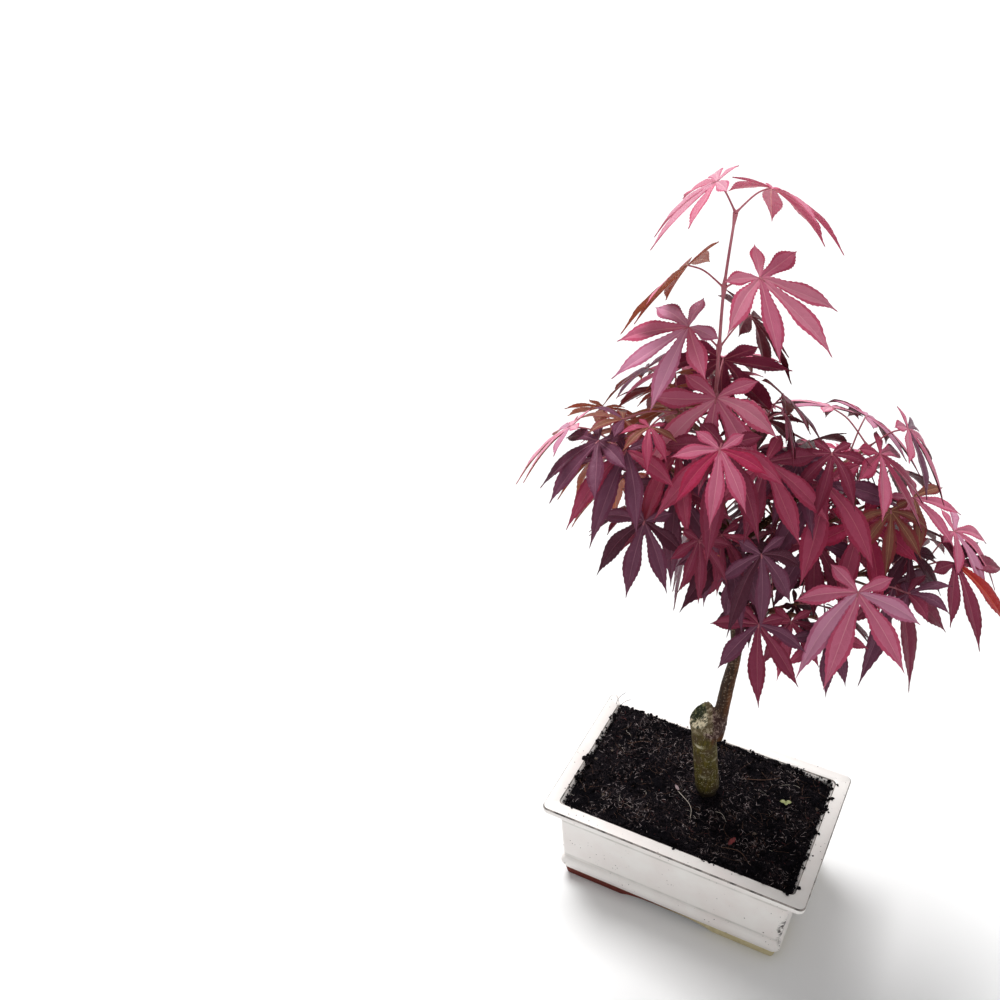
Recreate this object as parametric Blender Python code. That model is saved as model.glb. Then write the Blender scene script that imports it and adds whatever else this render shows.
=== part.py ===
"""Maple bonsai: a grafted red-leaved maple with a curved leader in a rectangular glazed pot of compost.

Named sizes are in millimetres and angles in degrees; each mesh is made in metres. The pot is laid out round
the middle of its underside. The plant is laid out in a frame of its own at the foot of the trunk, turned a
little about the pot. Neighbouring pieces keep a gap of 0.3 mm.
"""

from collections import namedtuple
from math import atan2, cos, hypot, pi, radians, sin

import bmesh
import bpy
import numpy as np

MM = 0.001
GAP = 0.3                       # between touching pieces
MIDDLE = (-24.0, -14.5)         # middle of the pot, from the middle of the whole outline

# ---- pot and soil ----

POT_LENGTH = 200.0
POT_DEPTH = 136.0
POT_HEIGHT = 84.0
RIM_CORNER = 9.0                # corner radius at the rim; it shrinks with the inset
CORNER_SHRINK = 0.3
CORNER_STEPS = 5
# heights with the inset of the outer face, upward: foot, bead, groove, wall, hollow neck, lip
POT_OUTSIDE = (
    (0.0, 16.8), (0.8, 16.2), (8.0, 14.8), (9.5, 14.4),
    (12.0, 12.8), (15.5, 12.0), (19.5, 12.4), (22.5, 14.0),
    (24.0, 14.6), (25.5, 13.4), (60.0, 11.2),
    (65.5, 10.6), (70.5, 8.6), (74.5, 5.2), (77.5, 1.6),
    (79.0, 0.4), (83.2, 0.0), (POT_HEIGHT, 0.6),
)
WALL_HEIGHT = 78.0              # where the inner wall meets the rim
FLOOR_HEIGHT = 14.0
POT_INSIDE = ((POT_HEIGHT, 11.4), (83.2, 12.0), (WALL_HEIGHT, 12.6), (FLOOR_HEIGHT, 18.0))
FOOT_WIDTH = 11.0               # feet measured in from the outline of the underside
FOOT_HEIGHT = 6.0
ARCH_HALF_LENGTH = 37.0         # between the feet along the long sides
ARCH_HALF_DEPTH = 20.0          # and along the short sides
ARCH_STEPS = 12
ARCH_DEPTH = 3.0                # how far the cut for an arch starts below the pot
DRAIN_RADIUS = 6.0
DRAIN_SPACING = 84.0
DRAIN_SIDES = 16

SOIL_EDGE = 80.3                # soil height along the pot's wall
SOIL_PAD = 14.0                 # radius of the level patch under the trunk
SOIL_RINGS = (0.0, 0.12, 0.32, 0.55, 0.8, 1.0)
SOIL_LUMPS = 0.8

# ---- trunk ----

ROOTSTOCK_LINE = (
    (0, 0, 0), (-0.6, 0, 7), (-1.6, 0, 16), (-4.6, 0.3, 40), (-8.8, 0.6, 72), (-11.5, 0.8, 90),
    (-14.5, 1, 112),
)
ROOTSTOCK_GIRTH = (11.4, 10.4, 9.7, 9.3, 9.3, 9.0, 8.8)    # radius at each point of its line
SOIL_LEVEL = 2.0                # ring points below this are set level with the soil
SAW_POINT = (-11.8, 0.8, 92.5)  # the old stem was sawn off at a slant through this point
SAW_FACING = (-0.62, -0.25, 0.75)
UNION_CENTRE = (-3.2, -0.4, 82)
UNION_SIZE = (9.4, 9.8, 9.0)
TWIG_STUB = ((-4.0, 1, 199), (-9.5, -1, 202), (-13.5, -1.5, 206))
TWIG_STUB_GIRTH = (1.8, 1.4, 1.1)
TRUNK_SIDES = 12
ROOTSTOCK_SIDES = 14
BOUGH_SIDES = 8
STEM_SIDES = 5
TWIG_SIDES = 4
STALK_SIDES = 3
LIMB_ACROSS = (0.31, 0.95, 0.07)    # any direction that no limb runs in
SMOOTH_FROM = 7                 # limbs with this many sides or more are shaded smooth
SHARP_ANGLE = 40.0
SLIVER = 0.0004                 # corners this close are one
SLEEVE = 0.4                    # room between the trunk and the limbs that leave it

LEAF_THICKNESS = 1.2
STALK_SUNK = 0.06               # share of the blade that the stalk's tip runs into
STALK_TAPER = (1.2, 1.0, 1.0, 0.7)
TWIG_TAPER = 0.8
MANIFOLD_MASSES = ("back_right",)   # the exact union leaves this one open

# ---- the plant: across, back and up in millimetres from the foot of the trunk ----

TRUNK_FOOT = (7.5, 1.4, 76.0)   # in the pot, from the middle of its underside
CROWN_TURN = 27.0               # degrees between the pot's long side and the crown's broad side

LEADER_BASE = 352.0             # height where the trunk hands over to this year's shoot
TRUNK_LINE = (
    (-1.5, 0, 70), (-0.7, 0, 84), (1.7, 0, 121), (4.0, 1, 155), (-3.5, 1, 196), (-10.9, -1, 231.5),
    (-20, -3, 275), (-28.9, -2, 317), (-31, 0, LEADER_BASE),
)
TRUNK_GIRTH = (                 # height and radius
    (70, 6.4), (84, 6.4), (100, 5.7), (121, 5.4), (155, 4.3), (206, 3.8), (231, 3.4), (317, 2.7),
    (LEADER_BASE, 2.2),
)
LEADER_LINE = ((-31.1, 0.1, 354.5), (-32.2, 1, 385), (-33.2, 2, 422), (-31.8, 2, 465.6))
TRUNK_STEPS = 4                 # rings between two points of the trunk line

BOUGH_GIRTH = (3.0, 2.0)        # radius at the root and at the tip
STEM_GIRTH = (1.8, 1.2)
TWIG_GIRTH = 1.0
PETIOLE_GIRTH = 0.7
BEND_STEPS = 4                  # straight lengths in a bough and in a mass's stem
TWIG_SHARE = (0.55, 0.45)       # side twigs as a share of their stem
TWIG_RISE = 30.0

# a blade, as shares of its length
LOBE_TURNS = (-128, -82, -40, 0, 40, 82, 128)
LOBE_REACH = (0.46, 0.74, 0.93, 1.0, 0.93, 0.74, 0.46)
LOBE_HALF_WIDTH = 0.148
LOBE_WIDEST = 0.5               # place of a lobe's widest part along it
LOBE_LIFT = 0.03                # rims above the rib
NOTCH_DEPTH = 0.27
HEEL_TURN = 152                 # heading and reach of the corners beside the stalk
HEEL_REACH = 0.1

LEAF_LIFT = 38.0                # rise of a leaf stalk from its twig
STALK_BEND = (0.55, 0.05, -0.1)  # place of its bend, how far that stands up and how far its tip sags
STALK_TURN = 14.0               # a leaf strays at random by up to these
BLADE_TURN = 18.0
SIZE_RANGE = (0.88, 1.12)
STALK_RANGE = (0.8, 1.2)
CURL_RANGE = (0.08, 0.22)       # sag of the lobes' tips
OUTWARD_SHRINK = 0.14           # leaves get smaller towards a shoot's tip
TWIG_LEAF = 0.9                 # and on side twigs
TRY_STRAY = 0.15                # each further try strays more and is smaller
TRY_SHRINK = 0.022
TRIES = 20                      # tries before a leaf's place stays empty

LEAF_GAP = 1.0                  # clear on both sides of a blade
LIMB_GAP = 1.2
STALK_GAP = 2.0
LOWEST_TIP = 18.0
STEM_FREE = 0.25                # share of a stem below its first leaves

# name, height on the trunk, heading and rise, lengths of the bare bough and of the mass's stem, headings of
# the leaves at each of the stem's joints, leaf length, stalk length, droop of the first and of the last
# leaves, seed; a joint's side twig is its own heading and then its leaves' headings
Shoot = namedtuple("Shoot", "name at heading rise bough stem faces leaf stalk droop droop_tip seed")
SHOOTS = (
    Shoot("crown_top", LEADER_BASE, 90, 88, 0, 0,
          ((250, 70), (190, 28), (150, -48), (150, 18)), 54, 25, 54, 30, 62),
    Shoot("front_upper", 302, 262, 50, 14, 34,
          ((195, 325), (275, 170), (235, 300)), 52, 28, 55, 55, 22),
    Shoot("upper_left", 325, 200, 42, 0, 36,
          ((250, 140), (185, 215)), 50, 28, 42, 42, 30),
    Shoot("upper_right", 318, -20, 40, 0, 34,
          ((-80, 60), (5, -40)), 50, 26, 50, 50, 39),
    Shoot("left", 286, 180, 28, 24, 46,
          ((260, 110), (235, 130), (168, 212)), 52, 34, 48, 48, 37),
    Shoot("right", 240, 4, 44, 66, 44,
          ((262, 120), (300, 60), (-38, 150)), 52, 32, 45, 45, 2),
    Shoot("right_middle", 226, 10, 24, 40, 60,
          ((265, 80), (290, 40), (-40, 60)), 50, 28, 48, 48, 26),
    Shoot("low_right", 204, -4, 14, 52, 70,
          (((-75, 250, -50), (75, 30, 90)), (-60, 70), (255, 80), (-40, 15)), 56, 28, 44, 44, 29),
    Shoot("low_front", 190, -42, 24, 16, 48,
          (((250, 240, 290), (-10, -50, 10)), (275, -20), (255, -50)), 50, 26, 48, 48, 27),
    Shoot("middle_front", 250, 262, 30, 0, 34,
          ((200, 310), (270, 190), (235, 300)), 48, 24, 55, 55, 21),
    Shoot("low_left", 262, 212, 16, 14, 40,
          ((265, 150), (235, 180), (215, 255)), 50, 28, 52, 52, 7),
    Shoot("back", 272, 92, 42, 30, 44,
          (((150, 130, 175), (30, 0, 50)), (60, 130), (80, 185)), 52, 32, 38, 38, 20),
    Shoot("back_right", 216, 45, 26, 40, 50,
          (((110, 80, 130), (-10, -30, 20)), (0, 110), (20, 75)), 52, 30, 40, 40, 22),
    Shoot("back_left", 248, 145, 30, 26, 42,
          (((210, 185, 225), (90, 70, 110)), (185, 100), (125, 170)), 52, 32, 40, 40, 20),
)
UP = np.array((0.0, 0.0, 1.0))


def unit(vector):
    return vector / np.linalg.norm(vector)


def compass(heading, rise):
    """Direction with a heading (0 across to the right, 90 to the back) and a rise, both in degrees."""
    turn, tilt = radians(heading), radians(rise)
    return np.array((cos(turn) * cos(tilt), sin(turn) * cos(tilt), sin(tilt)))


def smooth_line(points, steps):
    """Catmull-Rom curve through the points, with the same number of steps between each two."""
    knots = np.array(points, float)
    knots = np.vstack((2 * knots[0] - knots[1], knots, 2 * knots[-1] - knots[-2]))
    line = []
    for a, b, c, d in zip(knots, knots[1:], knots[2:], knots[3:]):
        square, cube = 2 * a - 5 * b + 4 * c - d, 3 * b - a - 3 * c + d
        for t in np.arange(steps) / steps:
            line.append(b + ((c - a) * t + square * t**2 + cube * t**3) / 2)
    line.append(knots[-2])
    return np.array(line)


def at_share(line, share):
    """Point of a line at a share of its count of steps."""
    steps = np.linspace(0, 1, len(line))
    return np.array([np.interp(share, steps, line[:, axis]) for axis in range(3)])


def trunk_radius(height):
    return np.interp(height, *zip(*TRUNK_GIRTH))


def skeleton(shoot, trunk):
    """Bough line, stem line, side twigs, and the places of the leaves with their headings."""
    root = np.array([np.interp(shoot.at, trunk[:, 2], trunk[:, axis]) for axis in range(3)])
    way = compass(shoot.heading, shoot.rise)
    stops = len(shoot.faces)
    if shoot.stem:
        first = root + way * shoot.bough
        shares = np.linspace(0, 1, BEND_STEPS + 1)
        stem = np.array([first + way * shoot.stem * share for share in shares])
        bough = np.array([root + way * shoot.bough * share for share in shares]) if shoot.bough else None
        places = [at_share(stem, share) for share in np.linspace(STEM_FREE, 1, stops)]
    else:
        stem = np.array(LEADER_LINE)
        bough = None
        places = list(stem)
    twigs, seats = [], []
    for stop, (place, faces) in enumerate(zip(places, shoot.faces)):
        along = stop / (stops - 1)
        for side, face in enumerate(faces):
            if isinstance(face, tuple):
                end = place + compass(face[0], TWIG_RISE) * shoot.stem * TWIG_SHARE[side]
                twigs.append(np.array((place, end)))
                seats += [(end, heading, along, TWIG_LEAF) for heading in face[1:]]
            else:
                seats.append((place, face, along, 1.0))
    return bough, stem, twigs, seats


def hang_leaf(shoot, seat, attempt, dice):
    """A leaf on its stalk, headed away from the twig, with a drooping blade; each attempt strays further."""
    place, face, along, small = seat
    stray = 1 + TRY_STRAY * attempt
    heading = face + dice.uniform(-STALK_TURN, STALK_TURN) * stray
    go = compass(heading, LEAF_LIFT + dice.uniform(-STALK_TURN, STALK_TURN) * stray)
    size = shoot.leaf * dice.uniform(*SIZE_RANGE) * (1 - OUTWARD_SHRINK * along) * small
    stalk = shoot.stalk * dice.uniform(*STALK_RANGE) * small
    droop = shoot.droop + (shoot.droop_tip - shoot.droop) * along
    droop = radians(droop + dice.uniform(-BLADE_TURN, BLADE_TURN) * stray)
    turn = atan2(go[1], go[0]) + radians(dice.uniform(-BLADE_TURN, BLADE_TURN)) * stray
    roll = radians(dice.uniform(-BLADE_TURN, BLADE_TURN))
    level = np.array((cos(turn), sin(turn), 0.0))
    along_blade = level * cos(droop) - UP * sin(droop)
    face_up = level * sin(droop) + UP * cos(droop)
    face_up = face_up * cos(roll) + np.cross(face_up, along_blade) * sin(roll)
    bend, rise, sag = STALK_BEND
    line = (place, place + stalk * (go * bend + UP * rise), place + stalk * (go + UP * sag))
    return {
        "stalk": np.array(line),
        "along": along_blade,
        "across": np.cross(face_up, along_blade),
        "normal": face_up,
        "size": size * (1 - TRY_SHRINK * attempt),
        "curl": dice.uniform(*CURL_RANGE),
    }


def blade_point(leaf, turn, reach, lift=0.0):
    """Point of a blade at a turn from its middle lobe and a share of its size; its tips sag."""
    x, y = reach * cos(turn), reach * sin(turn)
    flat = leaf["along"] * x + leaf["across"] * y + leaf["normal"] * lift
    return leaf["stalk"][-1] + leaf["size"] * (flat - UP * leaf["curl"] * reach**2)


def blade(leaf):
    """Corners and triangles of a leaf's middle surface.

    The corners are its base, its heel, then each lobe's left side, rib, right side, tip and next notch.
    """
    corners = [blade_point(leaf, 0, 0), blade_point(leaf, radians(-HEEL_TURN), HEEL_REACH)]
    faces = []
    for lobe, (turn, reach) in enumerate(zip(LOBE_TURNS, LOBE_REACH)):
        half = LOBE_HALF_WIDTH * (0.35 + 0.65 * reach)
        middle = LOBE_WIDEST * reach
        bulge, shoulder = atan2(half, middle), hypot(half, middle)
        if lobe + 1 < len(LOBE_TURNS):
            notch_turn = (turn + LOBE_TURNS[lobe + 1]) / 2
            notch_reach = NOTCH_DEPTH * (1 + min(reach, LOBE_REACH[lobe + 1])) / 2
        else:
            notch_turn, notch_reach = HEEL_TURN, HEEL_REACH
        first = len(corners)
        corners += [
            blade_point(leaf, radians(turn) - bulge, shoulder, LOBE_LIFT * reach),
            blade_point(leaf, radians(turn), middle),
            blade_point(leaf, radians(turn) + bulge, shoulder, LOBE_LIFT * reach),
            blade_point(leaf, radians(turn), reach),
            blade_point(leaf, radians(notch_turn), notch_reach),
        ]
        before, left, rib, right, tip, after = range(first - 1, first + 5)
        faces += [(0, before, rib), (0, rib, after), (before, left, rib)]
        faces += [(left, tip, rib), (tip, right, rib), (right, after, rib)]
    return np.array(corners), np.array(faces)


def blade_lines(corners):
    """Ribs and rims of a blade as pairs of points."""
    pairs = []
    for lobe in range(len(LOBE_TURNS)):
        before, left, rib, right, tip, after = range(1 + 5 * lobe, 7 + 5 * lobe)
        pairs += [(0, rib), (rib, tip), (before, left), (left, tip), (tip, right), (right, after)]
    return corners[np.array(pairs)]


def pierces(lines, triangles):
    """True where any of the lines passes through any of the triangles."""
    start, way = lines[:, None, 0], lines[:, None, 1] - lines[:, None, 0]
    corner = triangles[:, 0]
    edge_a, edge_b = triangles[:, 1] - corner, triangles[:, 2] - corner
    normal = np.cross(way, edge_b)
    scale = (normal * edge_a).sum(-1)
    scale = np.where(abs(scale) < 1e-12, 1e-12, scale)
    offset = start - corner
    u = (offset * normal).sum(-1) / scale
    turned = np.cross(offset, edge_a)
    v = (turned * way).sum(-1) / scale
    t = (turned * edge_b).sum(-1) / scale
    return bool(((u >= 0) & (v >= 0) & (u + v <= 1) & (t >= 0) & (t <= 1)).any())


def spread(lines, count):
    """Evenly spaced points on each line."""
    shares = np.linspace(0, 1, count)[:, None]
    return (lines[:, None, 0] + (lines[:, None, 1] - lines[:, None, 0]) * shares).reshape(-1, 3)


def gap_to_line(points, start, end):
    way = end - start
    share = np.clip(((points - start) @ way) / (way @ way), 0, 1)
    return np.linalg.norm(points - start - share[:, None] * way, axis=1).min()


def measured(leaf, mass):
    """The points, lines and triangles of a leaf that its clearances are tested with."""
    corners, faces = blade(leaf)
    sheet = corners[faces]
    guard = leaf["normal"] * LEAF_GAP
    lines = blade_lines(corners)
    stalk = np.array((leaf["stalk"][:2], leaf["stalk"][1:]))
    held = np.vstack((corners, leaf["stalk"]))
    return {
        "mass": mass,
        "sheets": np.concatenate((sheet - guard, sheet, sheet + guard)),
        "lines": lines,
        "points": spread(lines, 8),
        "stalk": stalk,
        "stalk_points": spread(stalk, 5)[2:],
        "low": held.min(0) - STALK_GAP,
        "high": held.max(0) + STALK_GAP,
    }


def is_clear(new, limbs, leaves):
    """A leaf touches no limb and crosses no other leaf; its stalk keeps clear of the other masses."""
    if new["points"][:, 2].min() < LOWEST_TIP:
        return False
    for mass, start, end, radius in limbs:
        low, high = np.minimum(start, end) - radius, np.maximum(start, end) + radius
        if (low > new["high"]).any() or (high < new["low"]).any():
            continue
        if gap_to_line(new["points"], start, end) < radius + LIMB_GAP:
            return False
        if mass != new["mass"] and gap_to_line(new["stalk_points"], start, end) < radius + LIMB_GAP:
            return False
        if pierces(np.array([(start, end)]), new["sheets"]):
            return False
    for old in leaves:
        if (old["low"] > new["high"]).any() or (old["high"] < new["low"]).any():
            continue
        if pierces(new["lines"], old["sheets"]) or pierces(old["lines"], new["sheets"]):
            return False
        if old["mass"] == new["mass"]:
            continue
        if pierces(new["stalk"], old["sheets"]) or pierces(old["stalk"], new["sheets"]):
            return False
        if min(gap_to_line(new["stalk_points"], *line) for line in old["stalk"]) < STALK_GAP:
            return False
    return True


def limbs_of(mass, line, first, last):
    """A line's straight lengths, each with its mass and its thicker radius."""
    radii = np.linspace(first, last, len(line))
    return [(mass, a, b, radius) for a, b, radius in zip(line, line[1:], radii)]


def grow_limbs():
    """Trunk line, each shoot's skeleton, and every limb that leaves keep clear of."""
    trunk = smooth_line(TRUNK_LINE, TRUNK_STEPS)
    limbs = [("trunk", a, b, trunk_radius(a[2])) for a, b in zip(trunk, trunk[1:])]
    skeletons = {}
    for shoot in SHOOTS:
        bough, stem, twigs, seats = skeletons[shoot.name] = skeleton(shoot, trunk)
        if bough is not None:
            limbs += limbs_of("bough", bough, *BOUGH_GIRTH)
        limbs += limbs_of(shoot.name, stem, *STEM_GIRTH)
        for twig in twigs:
            limbs += limbs_of(shoot.name, twig, TWIG_GIRTH, TWIG_GIRTH)
    return trunk, skeletons, limbs


def grow_leaves(shoot, seats, limbs, taken, seed):
    """A mass's leaves, with what later masses keep clear of."""
    dice = np.random.default_rng(seed)
    leaves, kept = [], []
    for seat in seats:
        for attempt in range(TRIES):
            leaf = hang_leaf(shoot, seat, attempt, dice)
            new = measured(leaf, shoot.name)
            if is_clear(new, limbs, taken + kept):
                leaves.append(leaf)
                kept.append(new)
                break
    return leaves, kept


# ---- meshes ----

def material(name, colour, roughness, metallic=0.0):
    made = bpy.data.materials.new(name)
    made.use_nodes = True
    shader = made.node_tree.nodes["Principled BSDF"]
    shader.inputs["Base Color"].default_value = (*colour, 1.0)
    shader.inputs["Roughness"].default_value = roughness
    shader.inputs["Metallic"].default_value = metallic
    return made


def add_body(name, points, faces, finish=None, smooth=False):
    """A mesh object from points in millimetres; its faces are turned to face out."""
    mesh = bpy.data.meshes.new(name)
    metres = np.array(points, float) * MM
    mesh.from_pydata(metres.tolist(), [], [tuple(face) for face in faces])
    shape = bmesh.new()
    shape.from_mesh(mesh)
    bmesh.ops.recalc_face_normals(shape, faces=shape.faces)
    shape.to_mesh(mesh)
    shape.free()
    if smooth:
        mesh.shade_smooth()
        mesh.set_sharp_from_angle(angle=radians(SHARP_ANGLE))
    if finish:
        mesh.materials.append(finish)
    body = bpy.data.objects.new(name, mesh)
    bpy.context.scene.collection.objects.link(body)
    return body


def loft(rings):
    """Points and faces that join rings of equal count, with a flat face over each end."""
    count = len(rings[0])
    points = [point for ring in rings for point in ring]
    faces = []
    for level in range(len(rings) - 1):
        for step in range(count):
            a, b = level * count + step, level * count + (step + 1) % count
            faces.append((a, b, b + count, a + count))
    last = (len(rings) - 1) * count
    faces += [tuple(range(count))[::-1], tuple(range(last, last + count))]
    return points, faces


def circle(centre, radius, turns, height):
    return [(centre[0] + radius * cos(turn), centre[1] + radius * sin(turn), height) for turn in turns]


def full_turn(sides):
    """Evenly spaced angles round a circle."""
    return np.arange(sides) * 2 * pi / sides


def rounded_ring(inset, height):
    """Rounded rectangle, set in from the pot's rim."""
    half_length, half_depth = POT_LENGTH / 2 - inset, POT_DEPTH / 2 - inset
    corner = RIM_CORNER - CORNER_SHRINK * inset
    ring = []
    for quarter, (side_x, side_y) in enumerate(((1, 1), (-1, 1), (-1, -1), (1, -1))):
        for step in range(CORNER_STEPS + 1):
            turn = pi / 2 * (quarter + step / CORNER_STEPS)
            ring.append((side_x * (half_length - corner) + corner * cos(turn),
                         side_y * (half_depth - corner) + corner * sin(turn), height))
    return ring


def limb(name, line, radii, sides, finish=None):
    """A tapering limb along a line, with its rings square to the line and flat ends."""
    line = np.array(line, float)
    ways = np.gradient(line, axis=0)
    across = unit(np.cross(ways[0], LIMB_ACROSS))
    turns = full_turn(sides)
    rings = []
    for centre, way, radius in zip(line, ways, radii):
        across = unit(across - unit(way) * (across @ unit(way)))
        over = np.cross(unit(way), across)
        rings.append([centre + radius * (cos(turn) * across + sin(turn) * over) for turn in turns])
    return add_body(name, *loft(rings), finish, smooth=sides >= SMOOTH_FROM)


def join(body, others, operation, solver="EXACT"):
    """One Boolean with all the others, applied; the others are then removed."""
    group = bpy.data.collections.new("others")
    bpy.context.scene.collection.children.link(group)
    for other in others:
        bpy.context.scene.collection.objects.unlink(other)
        group.objects.link(other)
    boolean = body.modifiers.new("join", "BOOLEAN")
    boolean.operation = operation
    boolean.solver = solver
    boolean.operand_type = "COLLECTION"
    boolean.collection = group
    graph = bpy.context.evaluated_depsgraph_get()
    result = bpy.data.meshes.new_from_object(body.evaluated_get(graph))
    body.modifiers.clear()
    plain = body.data
    body.data = result
    bpy.data.meshes.remove(plain)
    for other in list(group.objects):
        mesh = other.data
        bpy.data.objects.remove(other)
        bpy.data.meshes.remove(mesh)
    bpy.data.collections.remove(group)


def keep_main_piece(body):
    """Drop loose scraps and slivers that a union leaves."""
    shape = bmesh.new()
    shape.from_mesh(body.data)
    bmesh.ops.remove_doubles(shape, verts=shape.verts, dist=SLIVER * MM)
    bmesh.ops.dissolve_degenerate(shape, dist=SLIVER * MM, edges=shape.edges)
    left, pieces = set(shape.verts), []
    while left:
        piece, edge = set(), [left.pop()]
        while edge:
            corner = edge.pop()
            piece.add(corner)
            near = {link.other_vert(corner) for link in corner.link_edges} & left
            left -= near
            edge += near
        pieces.append(piece)
    main = max(pieces, key=len)
    bmesh.ops.delete(shape, geom=[corner for corner in shape.verts if corner not in main], context="VERTS")
    shape.to_mesh(body.data)
    shape.free()


# ---- pot and soil ----

def arch_cutter(half_span, reach, turned):
    """A flat-topped arch under the pot, run through it from side to side."""
    spans = np.linspace(-half_span, half_span, ARCH_STEPS + 1)
    outline = [(span, FOOT_HEIGHT * (1 - abs(span / half_span) ** 4)) for span in spans]
    outline += [(half_span, -ARCH_DEPTH), (-half_span, -ARCH_DEPTH)]
    rings = []
    for way in (-reach, reach):
        rings.append([(way, span, height) if turned else (span, way, height) for span, height in outline])
    return add_body("arch", *loft(rings))


def build_pot(finish):
    rings = [rounded_ring(inset, height) for height, inset in POT_OUTSIDE + POT_INSIDE]
    pot = add_body("pot", *loft(rings), finish, smooth=True)
    under = POT_OUTSIDE[0][1] + FOOT_WIDTH
    rings = [rounded_ring(under, height) for height in (-FOOT_HEIGHT, FOOT_HEIGHT)]
    recess = add_body("recess", *loft(rings))
    drains = []
    turns = full_turn(DRAIN_SIDES)
    for side in (-1, 1):
        centre = (side * DRAIN_SPACING / 2, 0)
        rings = [circle(centre, DRAIN_RADIUS, turns, height) for height in (0, 2 * FLOOR_HEIGHT)]
        drains.append(add_body("drain", *loft(rings)))
    join(pot, [recess], "DIFFERENCE")
    join(pot, [arch_cutter(ARCH_HALF_LENGTH, POT_DEPTH, False)], "DIFFERENCE")
    join(pot, [arch_cutter(ARCH_HALF_DEPTH, POT_LENGTH, True)], "DIFFERENCE")
    join(pot, drains, "DIFFERENCE")
    return pot


def soil_height(x, y):
    """Low lumps over the soil, from waves of three lengths."""
    broad = sin(x / 9.1 + 1.3 * sin(y / 13)) + sin(y / 7.3 + sin(x / 17))
    return SOIL_LUMPS * (broad / 2 - 0.3 * sin((x + y) / 5.2))


def build_soil(finish):
    """Soil that fills the pot, lumpy on top, with a level patch under the trunk."""
    inset_at = dict(POT_INSIDE)
    wall_slope = (inset_at[FLOOR_HEIGHT] - inset_at[WALL_HEIGHT]) / (WALL_HEIGHT - FLOOR_HEIGHT)
    bottom_inset = inset_at[FLOOR_HEIGHT] + 1.5 * GAP
    bottom, pad_height = FLOOR_HEIGHT + GAP, TRUNK_FOOT[2] - GAP
    edge = rounded_ring(bottom_inset - wall_slope * (WALL_HEIGHT - bottom), SOIL_EDGE)
    turns = full_turn(len(edge)) + pi / 4 - CORNER_STEPS * pi / len(edge)
    pad = circle(TRUNK_FOOT, SOIL_PAD, turns, pad_height)
    rings = [rounded_ring(bottom_inset, bottom)]
    for share in SOIL_RINGS:
        ring = []
        for (edge_x, edge_y, edge_height), (pad_x, pad_y, _) in zip(edge, pad):
            x, y = edge_x + (pad_x - edge_x) * share, edge_y + (pad_y - edge_y) * share
            height = edge_height + (pad_height - edge_height) * share**2
            ring.append((x, y, height + soil_height(x, y) * (1 - share)))
        rings.append(ring)
    return add_body("soil", *loft(rings), finish)


# ---- wood ----

def build_trunk(trunk_line, finish):
    """Rootstock with its slanting saw cut, the graft's swelling, and the grafted stem."""
    rootstock = limb("trunk", ROOTSTOCK_LINE, ROOTSTOCK_GIRTH, ROOTSTOCK_SIDES, finish)
    shape = bmesh.new()
    shape.from_mesh(rootstock.data)
    whole = shape.verts[:] + shape.edges[:] + shape.faces[:]
    saw = [value * MM for value in SAW_POINT]
    cut = bmesh.ops.bisect_plane(shape, geom=whole, plane_co=saw, plane_no=SAW_FACING, clear_outer=True)
    rim = [edge for edge in cut["geom_cut"] if isinstance(edge, bmesh.types.BMEdge)]
    bmesh.ops.contextual_create(shape, geom=rim)
    for corner in shape.verts:
        if corner.co.z < SOIL_LEVEL * MM:
            corner.co.z = 0.0
    bmesh.ops.recalc_face_normals(shape, faces=shape.faces)
    shape.to_mesh(rootstock.data)
    shape.free()

    stem = limb("stem", trunk_line, [trunk_radius(point[2]) for point in trunk_line], TRUNK_SIDES)
    stub = limb("stub", TWIG_STUB, TWIG_STUB_GIRTH, STEM_SIDES)
    swelling = bmesh.new()
    bmesh.ops.create_icosphere(swelling, subdivisions=2, radius=1)
    points = [np.array(corner.co) * UNION_SIZE + UNION_CENTRE for corner in swelling.verts]
    faces = [[corner.index for corner in face.verts] for face in swelling.faces]
    swelling.free()
    join(rootstock, [stem, stub, add_body("swelling", points, faces)], "UNION")
    keep_main_piece(rootstock)
    return rootstock


def clear_of_trunk(body, trunk_line):
    """Cut a limb's root off along the trunk, the gap clear of it."""
    radii = [trunk_radius(point[2]) + SLEEVE for point in trunk_line]
    join(body, [limb("sleeve", trunk_line, radii, TRUNK_SIDES)], "DIFFERENCE")
    keep_main_piece(body)


def build_bough(name, line, trunk_line, finish):
    bough = limb(name, line, np.linspace(*BOUGH_GIRTH, len(line)), BOUGH_SIDES, finish)
    clear_of_trunk(bough, trunk_line)
    return bough


# ---- leaves ----

def leaf_solid(leaf):
    """A blade with sharp rims, thickest along its ribs, with upper and under faces."""
    corners, faces = blade(leaf)
    offset = leaf["normal"] * LEAF_THICKNESS / 2
    ribs = [0] + [3 + 5 * lobe for lobe in range(len(LOBE_TURNS))]
    under = {rib: len(corners) + place for place, rib in enumerate(ribs)}
    points = corners.copy()
    points[ribs] += offset
    points = np.vstack((points, corners[ribs] - offset))
    solid = [tuple(face) for face in faces]
    solid += [tuple(under.get(corner, corner) for corner in face)[::-1] for face in faces]
    heel, other_heel = 1, len(corners) - 1
    solid += [(0, other_heel, heel), (under[0], heel, other_heel)]
    return add_body("leaf", points, solid)


def stalk_solid(leaf):
    end = leaf["stalk"][-1] + leaf["along"] * leaf["size"] * STALK_SUNK
    return limb("stalk", [*leaf["stalk"], end], np.array(STALK_TAPER) * PETIOLE_GIRTH, STALK_SIDES)


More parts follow.
